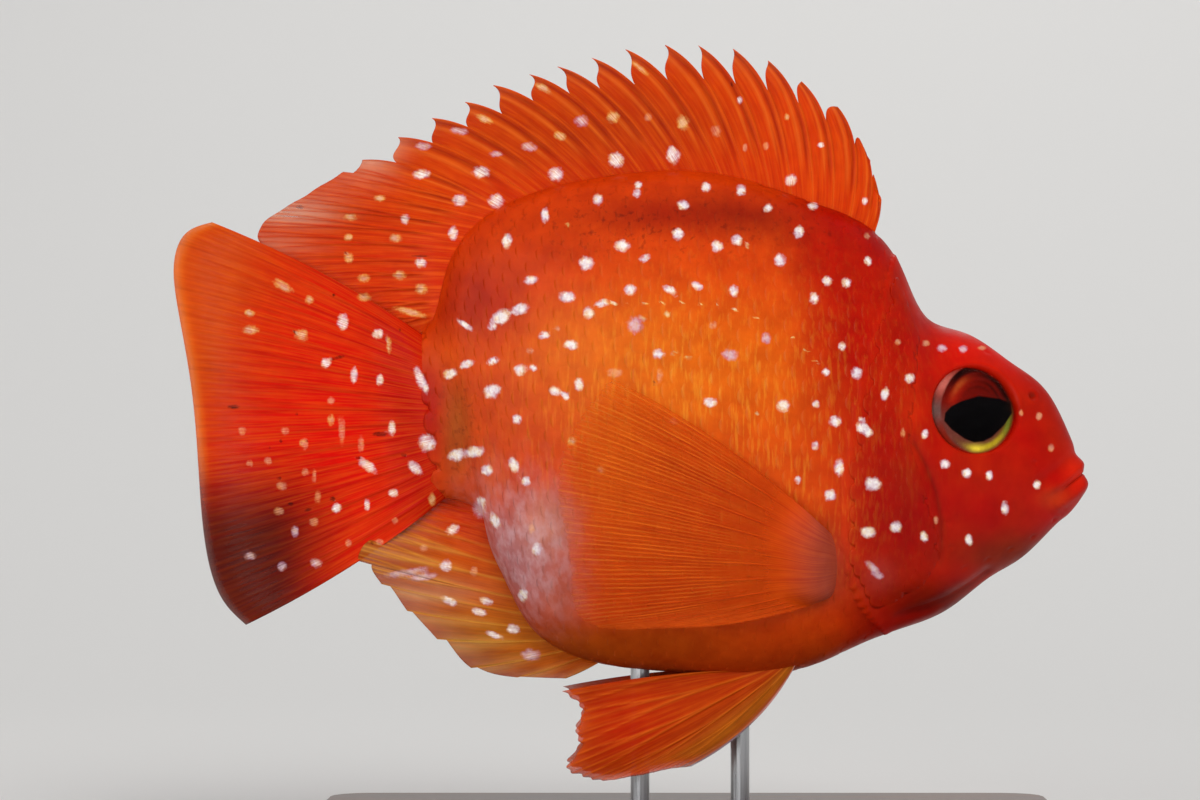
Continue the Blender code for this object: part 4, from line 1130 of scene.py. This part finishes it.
def blade(fin, rays, rows, across, reach, thickness, look, side=0, columns=12,
          soft=lambda i: True, ray_width=0.17, lobes=0, material=FIN):
    """A fine fin over the solids' rays, with its rays and their branches raised on a thin membrane.

    Reach gives how far the margin goes at a place between two rays. Look gives colour and
    opacity from the side view, the share along the rays, the share across and the ridges.
    The first lobes spaces are sheets of their own, so that a ray can stand out ahead of a notch.
    """
    spaces, wide = len(rays) - 1, rows + 1
    ends = [(k, k + 1) for k in range(lobes)] + [(lobes, spaces)]
    place = [first + np.arange((last - first) * columns + 1) / columns for first, last in ends]
    i = np.concatenate([np.minimum(p.astype(int), last - 1) for p, (_, last) in zip(place, ends)])
    counts = [len(p) for p in place]
    place = np.concatenate(place)
    share = place - i
    lines = [np.array([ray[k] for ray in rays]) for k in range(3)]
    root, bend, tip = (spline(range(spaces + 1), line)(place)[:, None] for line in lines)
    margin = np.array([reach(int(n), s) for n, s in zip(i, share)])
    u = np.linspace(0, 1, wide)[None, :] * margin[:, None]
    sides = [curve(*(line[i + step][:, None] for line in lines), u[..., None]) for step in (0, 1)]
    spread = np.linalg.norm(sides[0] - sides[1], axis=-1)
    ridge = np.zeros_like(u)
    for step in (0, 1):
        is_soft = np.array([1.0 if soft(int(n) + step) else 0.0 for n in i])[:, None]
        for p, q in ((-1, -1), (-1, 1), (1, -1), (1, 1)):
            line = step + is_soft * (p * 0.25 * smooth(0.22, 0.9, u) + q * 0.125 * smooth(0.5, 1.0, u))
            gap = np.abs(share[:, None] - line) * spread
            width = ray_width * (1 - 0.35 * u) * (1 - 0.35 * is_soft * smooth(0.3, 1, u))
            ridge = np.maximum(ridge, bump(gap, width, 1))
    v = np.broadcast_to(place[:, None] / spaces, u.shape)

    def sheet(u):
        flat = curve(root, bend, tip, u[..., None])
        return np.stack([flat[..., 0], across(flat[..., 0], flat[..., 1], u, v), flat[..., 1]], -1)

    middle, whole = sheet(u), sheet(np.broadcast_to(np.linspace(0, 1, wide), u.shape))
    normal = unit(np.cross(np.gradient(whole, axis=0), np.gradient(whole, axis=1)))
    normal *= np.sign((normal * normal[len(place) // 2, rows // 2]).sum(-1, keepdims=True))
    row = np.clip((u * rows).astype(int), 0, rows - 1)
    part = (u * rows - row)[..., None]
    column = np.arange(len(place))[:, None]
    normal = unit(normal[column, row] * (1 - part) + normal[column, row + 1] * part)
    half = normal * thickness(u, v, ridge)[..., None] / 2
    points = np.concatenate([(middle + half).reshape(-1, 3), (middle - half).reshape(-1, 3)])
    total = len(place) * wide
    sheets = [sheet_faces(count, wide, start * wide, total)
              for count, start in zip(counts, np.cumsum([0, *counts]))]
    plates, walls = (np.concatenate(part) for part in zip(*sheets))
    tone, alpha = look(middle[..., 0], middle[..., 2], u, v, ridge)
    tone = np.concatenate([tone, alpha[..., None]], -1).reshape(-1, 4)
    flow = np.stack([np.broadcast_to(place[:, None], u.shape), u * 10, 0 * u], -1).reshape(-1, 3)
    spot, pearl = np.zeros((2 * total, 3)), np.zeros((2 * total, 4))
    for face in (slice(0, total), slice(total, 2 * total)):
        face_side = 1 if points[face][:, 1].mean() > points[:, 1].mean() else -1
        spot[face], pearl[face] = spot_fields(points[face], side or face_side)
    if side:
        spot[:] = BLANK
    fields = {"tone": np.tile(tone, (2, 1)), "flow": np.tile(flow, (2, 1)), "spot": spot, "pearl": pearl}
    on_wall = np.arange(len(plates) + len(walls)) >= len(plates)
    face_out(make(fin + "_blade" + SIDES[side], points, [np.concatenate([plates, walls])], material,
                  (fin + "_fin" + SIDES[side],), fields, flat=on_wall))


def thin(membrane, ray, root, reach):
    """Thickness of a fine fin: fleshy at the root, then a membrane with tapering rays."""
    def at(u, v, ridge):
        blade_thick = membrane + ray * ridge * (1 - 0.75 * u)
        return np.maximum(blade_thick, root + (membrane - root) * smooth(0, reach, u))
    return at


def scallop(s):
    """0 at each ray and 1 midway between two."""
    return 0.5 - 0.5 * cos(2 * pi * s)


def soft_reach(s):
    return 0.992 - 0.006 * scallop(s)


def caudal_rays(sunk=0.0):
    """Rays of the tail fin, top one first. Sunk moves their roots into the tail stalk."""
    back_x, back_z, belly_x, belly_z, _ = body_at(TAIL_END)
    top, bottom = np.array((back_x, back_z)), np.array((belly_x, belly_z))
    run = (bottom - top) / np.hypot(*(bottom - top))
    away = np.array((run[1], -run[0])) * (0.3 - sunk)
    inset = 0.3 * run
    return fan(lambda t: top + inset + away + (bottom - top - 2 * inset) * t, by_length(CAUDAL_MARGIN),
               CAUDAL_RAYS, lambda t: 0.06 * (2 * t - 1))


def dorsal():
    def spine_tip(t):
        return np.array(SPINE_TIPS[round(t * (DORSAL_SPINES - 1))]) - (0, TIP_INSIDE)

    lower_edge = beside(caudal_rays()[0], np.linspace(0.66, 0.03, 9), -FIN_LAP)
    soft_tips = by_length([*SOFT_MARGIN, *lower_edge], False)
    rays = fan(body_line(*DORSAL_ROOT, False), spine_tip, DORSAL_SPINES, lambda t: -0.26 + 0.12 * t,
               lambda t: t ** 1.25, SPINE_BEND)
    rays += fan(body_line(*SOFT_ROOT, False), soft_tips, DORSAL_RAYS, lambda t: -0.03)

    def reach(i, s):
        if i < DORSAL_SPINES - 1:
            notch = np.interp(i, (0, 2, 8, 15), (0.52, 0.58, 0.60, 0.70))
            hook = np.interp(i, (4, 9), (0.05, 0.30))
            fall = hook * (1 - (1 - s) ** 5) + (1 - hook) * (0.78 * s + 0.22 * s ** 6)
            return 0.995 * float(1 - (1 - notch) * fall)
        if i == DORSAL_SPINES - 1:
            return 0.995 - 0.06 * (1 - (1 - s) ** 4)
        return soft_reach(s)

    def across(x, z, u, v):
        sway = 0.42 * u * np.sin(v * 2 * pi * 5.5) * smooth(0, 0.3, u) * (1 - smooth(0.68, 0.8, v))
        return sway + BEHIND_TAIL * smooth(0.68, 0.82, v) * smooth(0.1, 0.5, u)

    def look(x, z, u, v, ridge):
        soft = between(SOFT_COLUMNS, x)
        spiny = 1 - soft
        places = v * (len(rays) - 1)
        drift = 0.6 + 0.4 * np.sin(places * 2.3 + 1.4 * np.sin(places * 0.9) + 2 * u)
        pale = soft * smooth(0.50, 0.92, u) * (1 - 0.7 * ridge) * drift * (1 - smooth(0.75, 0.82, v))

        def streak(behind, width, weight):
            return bump(places % 1 - behind, width, weight) * smooth(0.1, 0.3, u) * spiny

        # Painted shadow: a dark streak just behind each spine. Painted highlight: the lighter spines. A
        # darker streak lies just ahead of each next spine, and a lighter one across each space
        tone = layered(u.shape, (204, 56, 2),
                       ((196, 40, 2), 0.8 * (1 - smooth(0.0, 0.35, u))),
                       ((158, 44, 5), 0.6 * oval(x, z, DORSAL_BROWN)),
                       ((214, 56, 3), 0.6 * between(DORSAL_FRONT_COLUMNS, x)),
                       ((206, 30, 5), 0.55 * oval(x, z, DORSAL_RED)),
                       ((232, 138, 78), 0.8 * pale),
                       ((206, 84, 8), 0.5 * smooth(0.7, 1.0, u) * spiny),
                       ((128, 20, 2), streak(0.17, 0.09, 0.6)),
                       ((150, 24, 3), streak(0.95, 0.06, 0.35)),
                       ((240, 128, 40), streak(0.40, 0.07, 0.35)),
                       ((238, 92, 18), ridge * 0.5 * spiny),
                       ((186, 32, 6), ridge * 0.6 * soft))
        return tone, 0.96 - 0.36 * pale - 0.10 * smooth(0.5, 1, u) * (1 - ridge)

    blade("dorsal", rays, 60, across, reach, thin(0.16, 0.55, 1.3, 0.30), look, columns=18,
          soft=lambda i: i >= DORSAL_SPINES, lobes=DORSAL_SPINES - 1)


def anal():
    upper_edge = beside(caudal_rays()[-1], np.linspace(0.45, 0.03, 6), FIN_LAP)
    tips = by_length([*ANAL_MARGIN, *upper_edge], False)
    rays = fan(body_line(*ANAL_ROOT, True), lambda t: tips(t + ANAL_SWEEP * sin(pi * t)),
               ANAL_SPINES + ANAL_RAYS, lambda t: 0.05 * (1 - t))

    def reach(i, s):
        return 0.995 - (0.04 + 0.02 * (i % 3)) * s if i < ANAL_SPINES else soft_reach(s)

    def across(x, z, u, v):
        sway = 0.35 * u * np.sin(v * 2 * pi * 3) * (1 - smooth(0.5, 0.7, v))
        return sway + BEHIND_TAIL * smooth(0.55, 0.75, v) * smooth(0.1, 0.5, u)

    def look(x, z, u, v, ridge):
        flame = 0.5 + 0.5 * np.sin(v * (len(rays) - 1) * 2 * pi + 3 * u)
        ahead = 1 - smooth(0.55, 0.85, v)
        tone = layered(u.shape, (184, 76, 10),
                       ((200, 40, 4), smooth(0.55, 0.9, v) * 0.9),
                       ((150, 100, 18), 0.7 * oval(x, z, ANAL_OLIVE)),
                       ((206, 150, 120), 0.5 * oval(x, z, ANAL_PALE)),
                       ((150, 50, 24), 0.6 * smooth(0.8, 1.0, u) * (1 - smooth(0.5, 0.8, v))),
                       ((206, 156, 78), 0.40 * flame * smooth(0.2, 0.6, u) * ahead),
                       ((150, 70, 12), 0.45 * (1 - flame) * smooth(0.3, 0.7, u) * ahead),
                       ((228, 168, 60), ridge * 0.35 * (1 - smooth(0.6, 0.9, v))))
        return tone, 0.95 - 0.22 * smooth(0.4, 1, u) * (1 - ridge)

    blade("anal", rays, 44, across, reach, thin(0.16, 0.42, 1.1, 0.28), look, columns=14,
          soft=lambda i: i >= ANAL_SPINES, lobes=ANAL_SPINES)


def caudal():
    half_width = float(body_at(TAIL_END)[4])
    fine = thin(0.16, 0.34, 0.16, 0.2)

    def thickness(u, v, ridge):
        stalk = 1.86 * half_width * np.sqrt(np.maximum(1 - np.abs(2 * v - 1) ** 2, 0))
        fleshy = 1 - smooth(0.03, 0.26, u)
        return np.maximum(0.2, stalk) * fleshy + fine(u, v, ridge) * (1 - fleshy)

    def look(x, z, u, v, ridge):
        # Painted shade: the tail fin's lower rear corner is darkened, and its rays less so
        low = smooth(*(photo(0, row)[1] for row in TAIL_PAINTED_SHADE_ROWS), z)
        dark = low * between(TAIL_PAINTED_SHADE_COLUMNS, x)
        pale = oval(x, z, TAIL_PALE_TOP) + oval(x, z, TAIL_PALE_EDGE)
        inner = 1 - smooth(0.85, 1.0, u)
        tone = layered(u.shape, (206, 28, 2),
                       ((218, 6, 0), 0.9 * oval(x, z, TAIL_RED)),
                       ((206, 70, 5), 0.9 * np.clip(pale, 0, 1)),
                       ((232, 112, 14), 0.9 * smooth(0.94, 0.99, u) * (1 - smooth(0.55, 0.75, v))),
                       ((46, 8, 4), 0.9 * dark),
                       ((180, 6, 1), 0.7 * (1 - smooth(0.1, 0.35, u))),
                       ((166, 14, 2), ridge * 0.25 * (1 - dark) * inner),
                       ((90, 18, 8), ridge * 0.3 * dark))
        opacity = 0.97 - 0.12 * smooth(0.6, 0.9, u) * (1 - ridge) * inner
        return tone, opacity - 0.30 * smooth(0.95, 1.0, u)

    def across(x, z, u, v):
        return 0.5 * u ** 1.5 * np.sin(v * 2 * pi * 2.5) * np.sin(v * pi)

    blade("caudal", caudal_rays(FIN_SUNK + 0.6), 64, across, lambda i, s: 0.994, thickness, look, columns=16)


def pectoral(side):
    rays = fan(by_length(PECTORAL_ROOT), by_length(PECTORAL_MARGIN), PECTORAL_RAYS,
               lambda t: -0.08 + 0.16 * t)
    fine = thin(0.12, 0.26, 0.3, 0.25)

    def thickness(u, v, ridge):
        lobe = bump(u - 0.11, 0.09, 1.6) * (1 - np.abs(2 * v - 1) ** 4)
        return np.maximum(0.14 + lobe, fine(u, v, ridge) * smooth(0.1, 0.3, u))

    def across(x, z, u, v):
        wall = flank_y(x, z)
        lift = -0.7 + 1.32 * smooth(0, 0.09, u) + bump(u - 0.12, 0.08, 0.60) + 0.12 * smooth(0.1, 0.3, u)
        return side * (wall + lift + PECTORAL_SPREAD * smooth(0.1, 1, u) * (FLANK_WIDEST - wall))

    def look(x, z, u, v, ridge):
        tone = layered(u.shape, (218, 72, 8),
                       ((232, 106, 16), 0.6 * oval(x, z, PECTORAL_GOLD)),
                       ((206, 64, 10), 0.5 * oval(x, z, PECTORAL_LOW)),
                       ((150, 62, 50), (1 - smooth(0.08, 0.24, u)) * 0.9),
                       ((196, 40, 4), 0.5 * oval(x, z, PECTORAL_RED)),
                       ((176, 38, 4), ridge * 0.55 * smooth(0.12, 0.3, u)))
        opacity = 1 - smooth(0.13, 0.36, u) * (0.64 - 0.22 * ridge)
        return tone, opacity * (1 - 0.75 * smooth(0.80, 1.0, u))

    blade("pectoral", rays, 52, across, lambda i, s: 1 - 0.010 * scallop(4 * s), thickness, look, side,
          columns=16, ray_width=0.16, material=PECTORAL_SKIN)


def pelvic(side):
    root_y = 2.4
    roots = [np.array((x, belly_z(x, root_y - 0.8) + 0.6)) for x in PELVIC_ROOT]
    rays = fan(by_length(roots), by_length(PELVIC_MARGIN), PELVIC_RAYS, lambda t: 0.16 - 0.21 * t)

    def look(x, z, u, v, ridge):
        # The pelvic fin's colours are darkened part way: partly its own colour, partly painted shade
        tone = layered(u.shape, (178, 50, 4),
                       ((138, 84, 12), 0.75 * (1 - smooth(0.15, 0.6, v)) * (1 - smooth(0.75, 1.0, u))),
                       ((196, 36, 3), 0.8 * oval(x, z, PELVIC_RED)),
                       ((150, 66, 36), 0.8 * (1 - smooth(0.02, 0.10, v))),
                       ((168, 168, 186), 0.75 * (1 - smooth(0.0, 0.035, v))),
                       ((232, 130, 34), ridge * 0.3),
                       ((226, 84, 14), 0.6 * smooth(0.86, 1.0, u) * smooth(0.1, 0.4, v)))
        return tone, 0.96 - 0.20 * smooth(0.5, 1, u) * (1 - ridge) - 0.22 * smooth(0.88, 1.0, u)

    def reach(i, s):
        depth = np.interp(i + s, (0, 2, 3.5, 5), (0.01, 0.02, 0.04, 0.05))
        fray = 0.5 + 0.25 * cos(9 * (i + s)) + 0.25 * cos(23 * (i + s))
        return 0.998 - float(depth * scallop(s) + 0.03 * fray * smooth(1, 3, i + s))

    def across(x, z, u, v):
        return side * (root_y + 1.4 * u + 0.35 * u * np.sin(v * 2 * pi * 2))

    blade("pelvic", rays, 52, across, reach, thin(0.15, 0.40, 1.1, 0.2), look, side, columns=22)


# Eyes

PUPIL = ((944.0, 421), (945.0, 413), (951, 406.5), (961, 401.5), (979, 396), (1000, 399), (1010, 403),
         (1012, 413), (1004, 425), (992, 437), (983, 441.5), (974, 442.5), (965, 439), (952, 430))
IRIS_AT = (978, 408.5)
IRIS_RADII = (36.5, 44)  # half its width and height, in pixels
# The ring round the iris: a rosy row of pixels, a grey one, and the columns where it turns red
RIM_ROSE_ROW = 384
RIM_GREY_ROW = 410
RIM_RED_COLUMNS = (950, 975)


def eye_frame(side):
    """Centre of an eye and the axes of its disc, which faces as the skin round it does."""
    x, z = EYE_AT
    outward = Vector()
    for k in range(12):
        turn = 2 * pi * k / 12
        place = Vector((x + EYE_RADIUS * cos(turn), side * FAR_OUT, z + EYE_RADIUS * sin(turn)))
        normal = BODY.ray_cast(place, Vector((0, -side, 0)))[1]
        outward += normal if normal.y * side > 0 else -normal
    outward.normalize()
    surface_point = Vector((x, side * float(flank_y(np.array([x]), np.array([z]))[0]), z))
    centre = surface_point + outward * (EYE_PROUD - EYE_FRONT)
    across = Vector((0, 0, 1)).cross(outward).normalized()
    return centre, across, outward.cross(across), outward


def polygon_distance(x, z, corners):
    """Distance to a closed line, below 0 inside it."""
    inside = np.zeros(x.shape, bool)
    closed = list(corners) + [corners[0]]
    for (ax, az), (bx, bz) in zip(closed, closed[1:]):
        crosses = (az > z) != (bz > z)
        with np.errstate(divide="ignore", invalid="ignore"):
            inside ^= crosses & (x < (bx - ax) * (z - az) / (bz - az) + ax)
    return line_distance(x, z, closed) * np.where(inside, -1, 1)


def eye_paint(x, z):
    """Colour of the eyeball from its place in the side view, and the distance to the pupil's edge."""
    iris_x, iris_z = photo(*IRIS_AT)
    dx, dz = (x - iris_x) / (IRIS_RADII[0] * PIXEL), (z - iris_z) / (IRIS_RADII[1] * PIXEL)
    r, turn = np.hypot(dx, dz), np.arctan2(dz, dx)
    pupil = polygon_distance(x, z, [photo(*p) for p in PUPIL])
    upper = smooth(-0.35, 0.20, dz)
    low = 1 - upper
    ahead = smooth(2.9, 2.2, turn) * smooth(-0.25, 0.1, turn)
    inward = bump(turn - 0.7, 0.7, 0.10)
    behind = x < iris_x

    def arc(angle, wide, ring, deep):
        return np.exp(-((turn - angle) / wide) ** 2 - ((r - ring) / deep) ** 2)

    creases = [((40, 6, 3), dark * upper * arc(angle, 0.70, ring, deep)) for ring, deep, dark, angle in (
        (0.76, 0.05, 0.95, 1.0), (0.86, 0.03, 0.7, 1.6), (0.62, 0.035, 0.85, 0.8), (0.50, 0.03, 0.5, 1.4))]
    tone = layered(x.shape, (100, 10, 3),
                   ((160, 22, 5), 0.8 * arc(2.6, 0.8, 0.70, 0.16)),
                   ((176, 92, 36), 0.5 * arc(2.35, 0.35, 0.74, 0.07)),
                   ((18, 2, 1), 0.97 * ahead * smooth(0.80 - inward, 0.90 - inward, r)), *creases,
                   ((112, 60, 52), 0.85 * low),
                   ((90, 30, 12), 0.8 * low * smooth(-1.2, -0.4, turn)),
                   ((190, 170, 36), np.clip(1.25 * arc(-1.15, 0.60, 0.90, 0.07), 0, 1)),
                   ((112, 140, 44), 0.9 * arc(-0.42, 0.24, 0.90, 0.07)),
                   ((240, 222, 66), arc(-1.60, 0.22, 0.90, 0.08)),
                   ((4, 3, 4), smooth(0.07, -0.05, pupil)))
    rim = layered(x.shape, (130, 30, 14),
                  ((196, 104, 92), bump(z - photo(0, RIM_ROSE_ROW)[1], 1.1, behind)),
                  ((104, 76, 72), bump(z - photo(0, RIM_GREY_ROW)[1], 1.3, behind)),
                  ((176, 16, 4), 0.9 * between(RIM_RED_COLUMNS, x)))
    return shade(tone, rim, smooth(0.97, 1.04, r)), pupil


def eye_rings(side, tilt, steps):
    """An eye's centre and axis, with the tilts of its rings and the directions out to their points."""
    centre, across, up, outward = (np.array(v) for v in eye_frame(side))
    tilt, turn = np.meshgrid(tilt, 2 * pi * np.arange(steps) / steps, indexing="ij")
    return centre, outward, tilt, across * np.cos(turn)[..., None] + up * np.sin(turn)[..., None]


def eyeball(side, steps=200, rings=72, back_rings=14):
    """The eye itself: pupil, iris and the ring round it, painted by place."""
    front, back, dome = EYE_FRONT - 0.75, EYE_BACK - 0.1, 0.38
    tilt = np.concatenate([np.linspace(0.0, 1.0, rings)[1:] ** 0.9 * (pi / 2),
                           pi / 2 + np.linspace(0, 1, back_rings)[1:-1] * (pi / 2)])
    centre, outward, tilt, ring = eye_rings(side, tilt, steps)
    in_front = np.cos(tilt) > 0
    side_view = centre + ring * np.sin(tilt)[..., None] * (EYE_RADIUS - 0.10)
    ball = np.where(in_front, front, back) * np.cos(tilt)
    tone, pupil = eye_paint(*in_photo(side_view + outward * ball[..., None]))
    lens = dome * smooth(0.35, -1.6, pupil) * in_front
    dish = -0.16 * smooth(0.0, 0.5, pupil) * smooth(1.8, 1.0, pupil) * in_front
    points = side_view + outward * (ball + lens + dish)[..., None]
    points = np.concatenate([points.reshape(-1, 3), [centre + outward * (front + dome)],
                             [centre - outward * back]])
    count, total = len(tilt), len(tilt) * steps
    faces = [grid_faces(count, steps, True), cap_faces(0, steps, total)[:, [1, 0, 2]],
             cap_faces(total - steps, steps, total + 1)]
    tone = np.concatenate([tone.reshape(-1, 3), [linear(4, 3, 4)], [linear(90, 20, 10)]])
    face_out(make("eyeball" + SIDES[side], points, faces, EYE, ("eye" + SIDES[side],),
                  {"tone": np.column_stack([tone, np.ones(len(tone))])}))


def cornea(side, steps=64, rings=20):
    """The clear front of the eye, a thin shell."""
    centre, outward, tilt, ring = eye_rings(side, np.linspace(0, 1, rings)[1:] * radians(84), steps)
    shells = []
    for inset in (0.0, 0.14):
        points = (centre + ring * (np.sin(tilt) * (EYE_RADIUS - 0.02 - inset))[..., None]
                  + outward * (np.cos(tilt) * (EYE_FRONT - inset))[..., None])
        shells.append(np.concatenate([points.reshape(-1, 3), [centre + outward * (EYE_FRONT - inset)]]))
    total = len(tilt) * steps + 1
    cap = cap_faces(0, steps, total - 1)[:, [1, 0, 2]]
    quads = grid_faces(len(tilt), steps, True)
    last = total - 1 - steps + np.arange(steps)
    ahead = np.roll(last, -1)
    wall = np.stack([last, ahead, ahead + total, last + total], 1)
    faces = [np.concatenate([quads, quads[:, ::-1] + total, wall]),
             np.concatenate([cap, cap[:, ::-1] + total])]
    face_out(make("cornea" + SIDES[side], np.concatenate(shells), faces, CORNEA))


# Build

def body_tree(rows=260, turns=160):
    """The solids' surface, to measure on."""
    place, turn = np.meshgrid(TAIL_END * (np.arange(rows + 1) + 0.02) / rows,
                              2 * pi * np.arange(turns) / turns, indexing="ij")
    here, normal = surface(place, turn)
    points = (here + normal * relief(here, False)[..., None]).reshape(-1, 3)
    return BVHTree.FromPolygons(points.tolist(), grid_faces(rows + 1, turns, True).tolist())


def flank_y(x, z):
    """Half-width of the body at places of the side view."""
    found = []
    for at_x, at_z in zip(np.ravel(x), np.ravel(z)):
        hit = BODY.ray_cast(Vector((at_x, FAR_OUT, at_z)), Vector((0, -1, 0)))[0]
        found.append(hit.y if hit else 0.0)
    return np.array(found).reshape(np.shape(x))


def belly_z(x, y):
    return BODY.ray_cast(Vector((x, y, FAR_DOWN)), Vector((0, 0, 1)))[0].z


BODY = body_tree()
rng = np.random.default_rng(SEED + 1)
skin()
for side in (-1, 1):
    scales(side, False)
    scales(side, True)
    for piece in (pectoral, pelvic, eyeball, cornea):
        piece(side)
dorsal()
anal()
caudal()

for node, material in (("stand_base", walnut()), ("stand_rod_front", steel()), ("stand_rod_rear", steel())):
    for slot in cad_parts[node].material_slots:
        slot.material = material


# Studio

FLOOR_HALF = 3.0
WALL_START = 0.25
WALL_CURVE = 0.8
MIDDLE = Vector((0, 0, SWIM_HEIGHT * MM))
# Each light's name, place and width in metres, power in watts, and whether it shows in reflections
LIGHTS = (
    ("key_light", (0.25, -0.75, 0.65), 0.5, 5.2, False),
    ("fill_light", (-0.6, -0.7, 0.30), 0.7, 3.2, True),
    ("back_light", (0.1, 0.7, 0.7), 0.6, 1.8, True),
)
SKY = (0.92, 0.94, 1.0, 1)
SKY_STRENGTH = 0.42


def studio_floor():
    """A pale floor that curves up into a wall behind."""
    profile = [(-FLOOR_HALF, 0.0), (WALL_START, 0.0)]
    for k in range(1, 13):
        turn = pi / 2 * k / 12
        profile.append((WALL_START + WALL_CURVE * sin(turn), WALL_CURVE * (1 - cos(turn))))
    profile.append((WALL_START + WALL_CURVE, FLOOR_HALF))
    points = [(x, y, z) for y, z in profile for x in (-FLOOR_HALF, FLOOR_HALF)]
    faces = [(2 * i, 2 * i + 1, 2 * i + 3, 2 * i + 2) for i in range(len(profile) - 1)]
    mesh = bpy.data.meshes.new("studio_floor")
    mesh.from_pydata(points, [], faces)
    mesh.shade_smooth()
    shader = Shader("studio_paper")
    mesh.materials.append(shader.finish(Base_Color=linear(226, 224, 220), Roughness=0.9))
    made = bpy.data.objects.new("studio_floor", mesh)
    bpy.context.scene.collection.objects.link(made)


def softbox(name, place, width, power, glossy):
    """A round soft light that faces the fish."""
    light = bpy.data.lights.new(name, "AREA")
    light.shape = "DISK"
    light.size = width
    light.energy = power
    made = bpy.data.objects.new(name, light)
    made.location = place
    made.rotation_euler = (MIDDLE - Vector(place)).to_track_quat("-Z", "Y").to_euler()
    made.visible_glossy = glossy
    bpy.context.scene.collection.objects.link(made)


studio_floor()
for light in LIGHTS:
    softbox(*light)
world = bpy.data.worlds.new("studio")
world.use_nodes = True
sky = world.node_tree.nodes["Background"].inputs
sky["Color"].default_value = SKY
sky["Strength"].default_value = SKY_STRENGTH
bpy.context.scene.world = world
bpy.context.scene.view_settings.view_transform = "Standard"  # keeps the deep reds of the photo

# Camera: the photo's frame, seen straight from the right flank
frame_x, frame_z = photo(*FRAME_MIDDLE)
lens = bpy.data.cameras.new("photo_camera")
lens.sensor_width = 36.0
lens.lens = lens.sensor_width * VIEW_DISTANCE / (PHOTO_WIDTH * PIXEL)
camera = bpy.data.objects.new("photo_camera", lens)
camera.location = (frame_x * MM, -VIEW_DISTANCE * MM, (frame_z + SWIM_HEIGHT) * MM)
camera.rotation_euler = (radians(90), 0, 0)
bpy.context.scene.collection.objects.link(camera)
bpy.context.scene.camera = camera
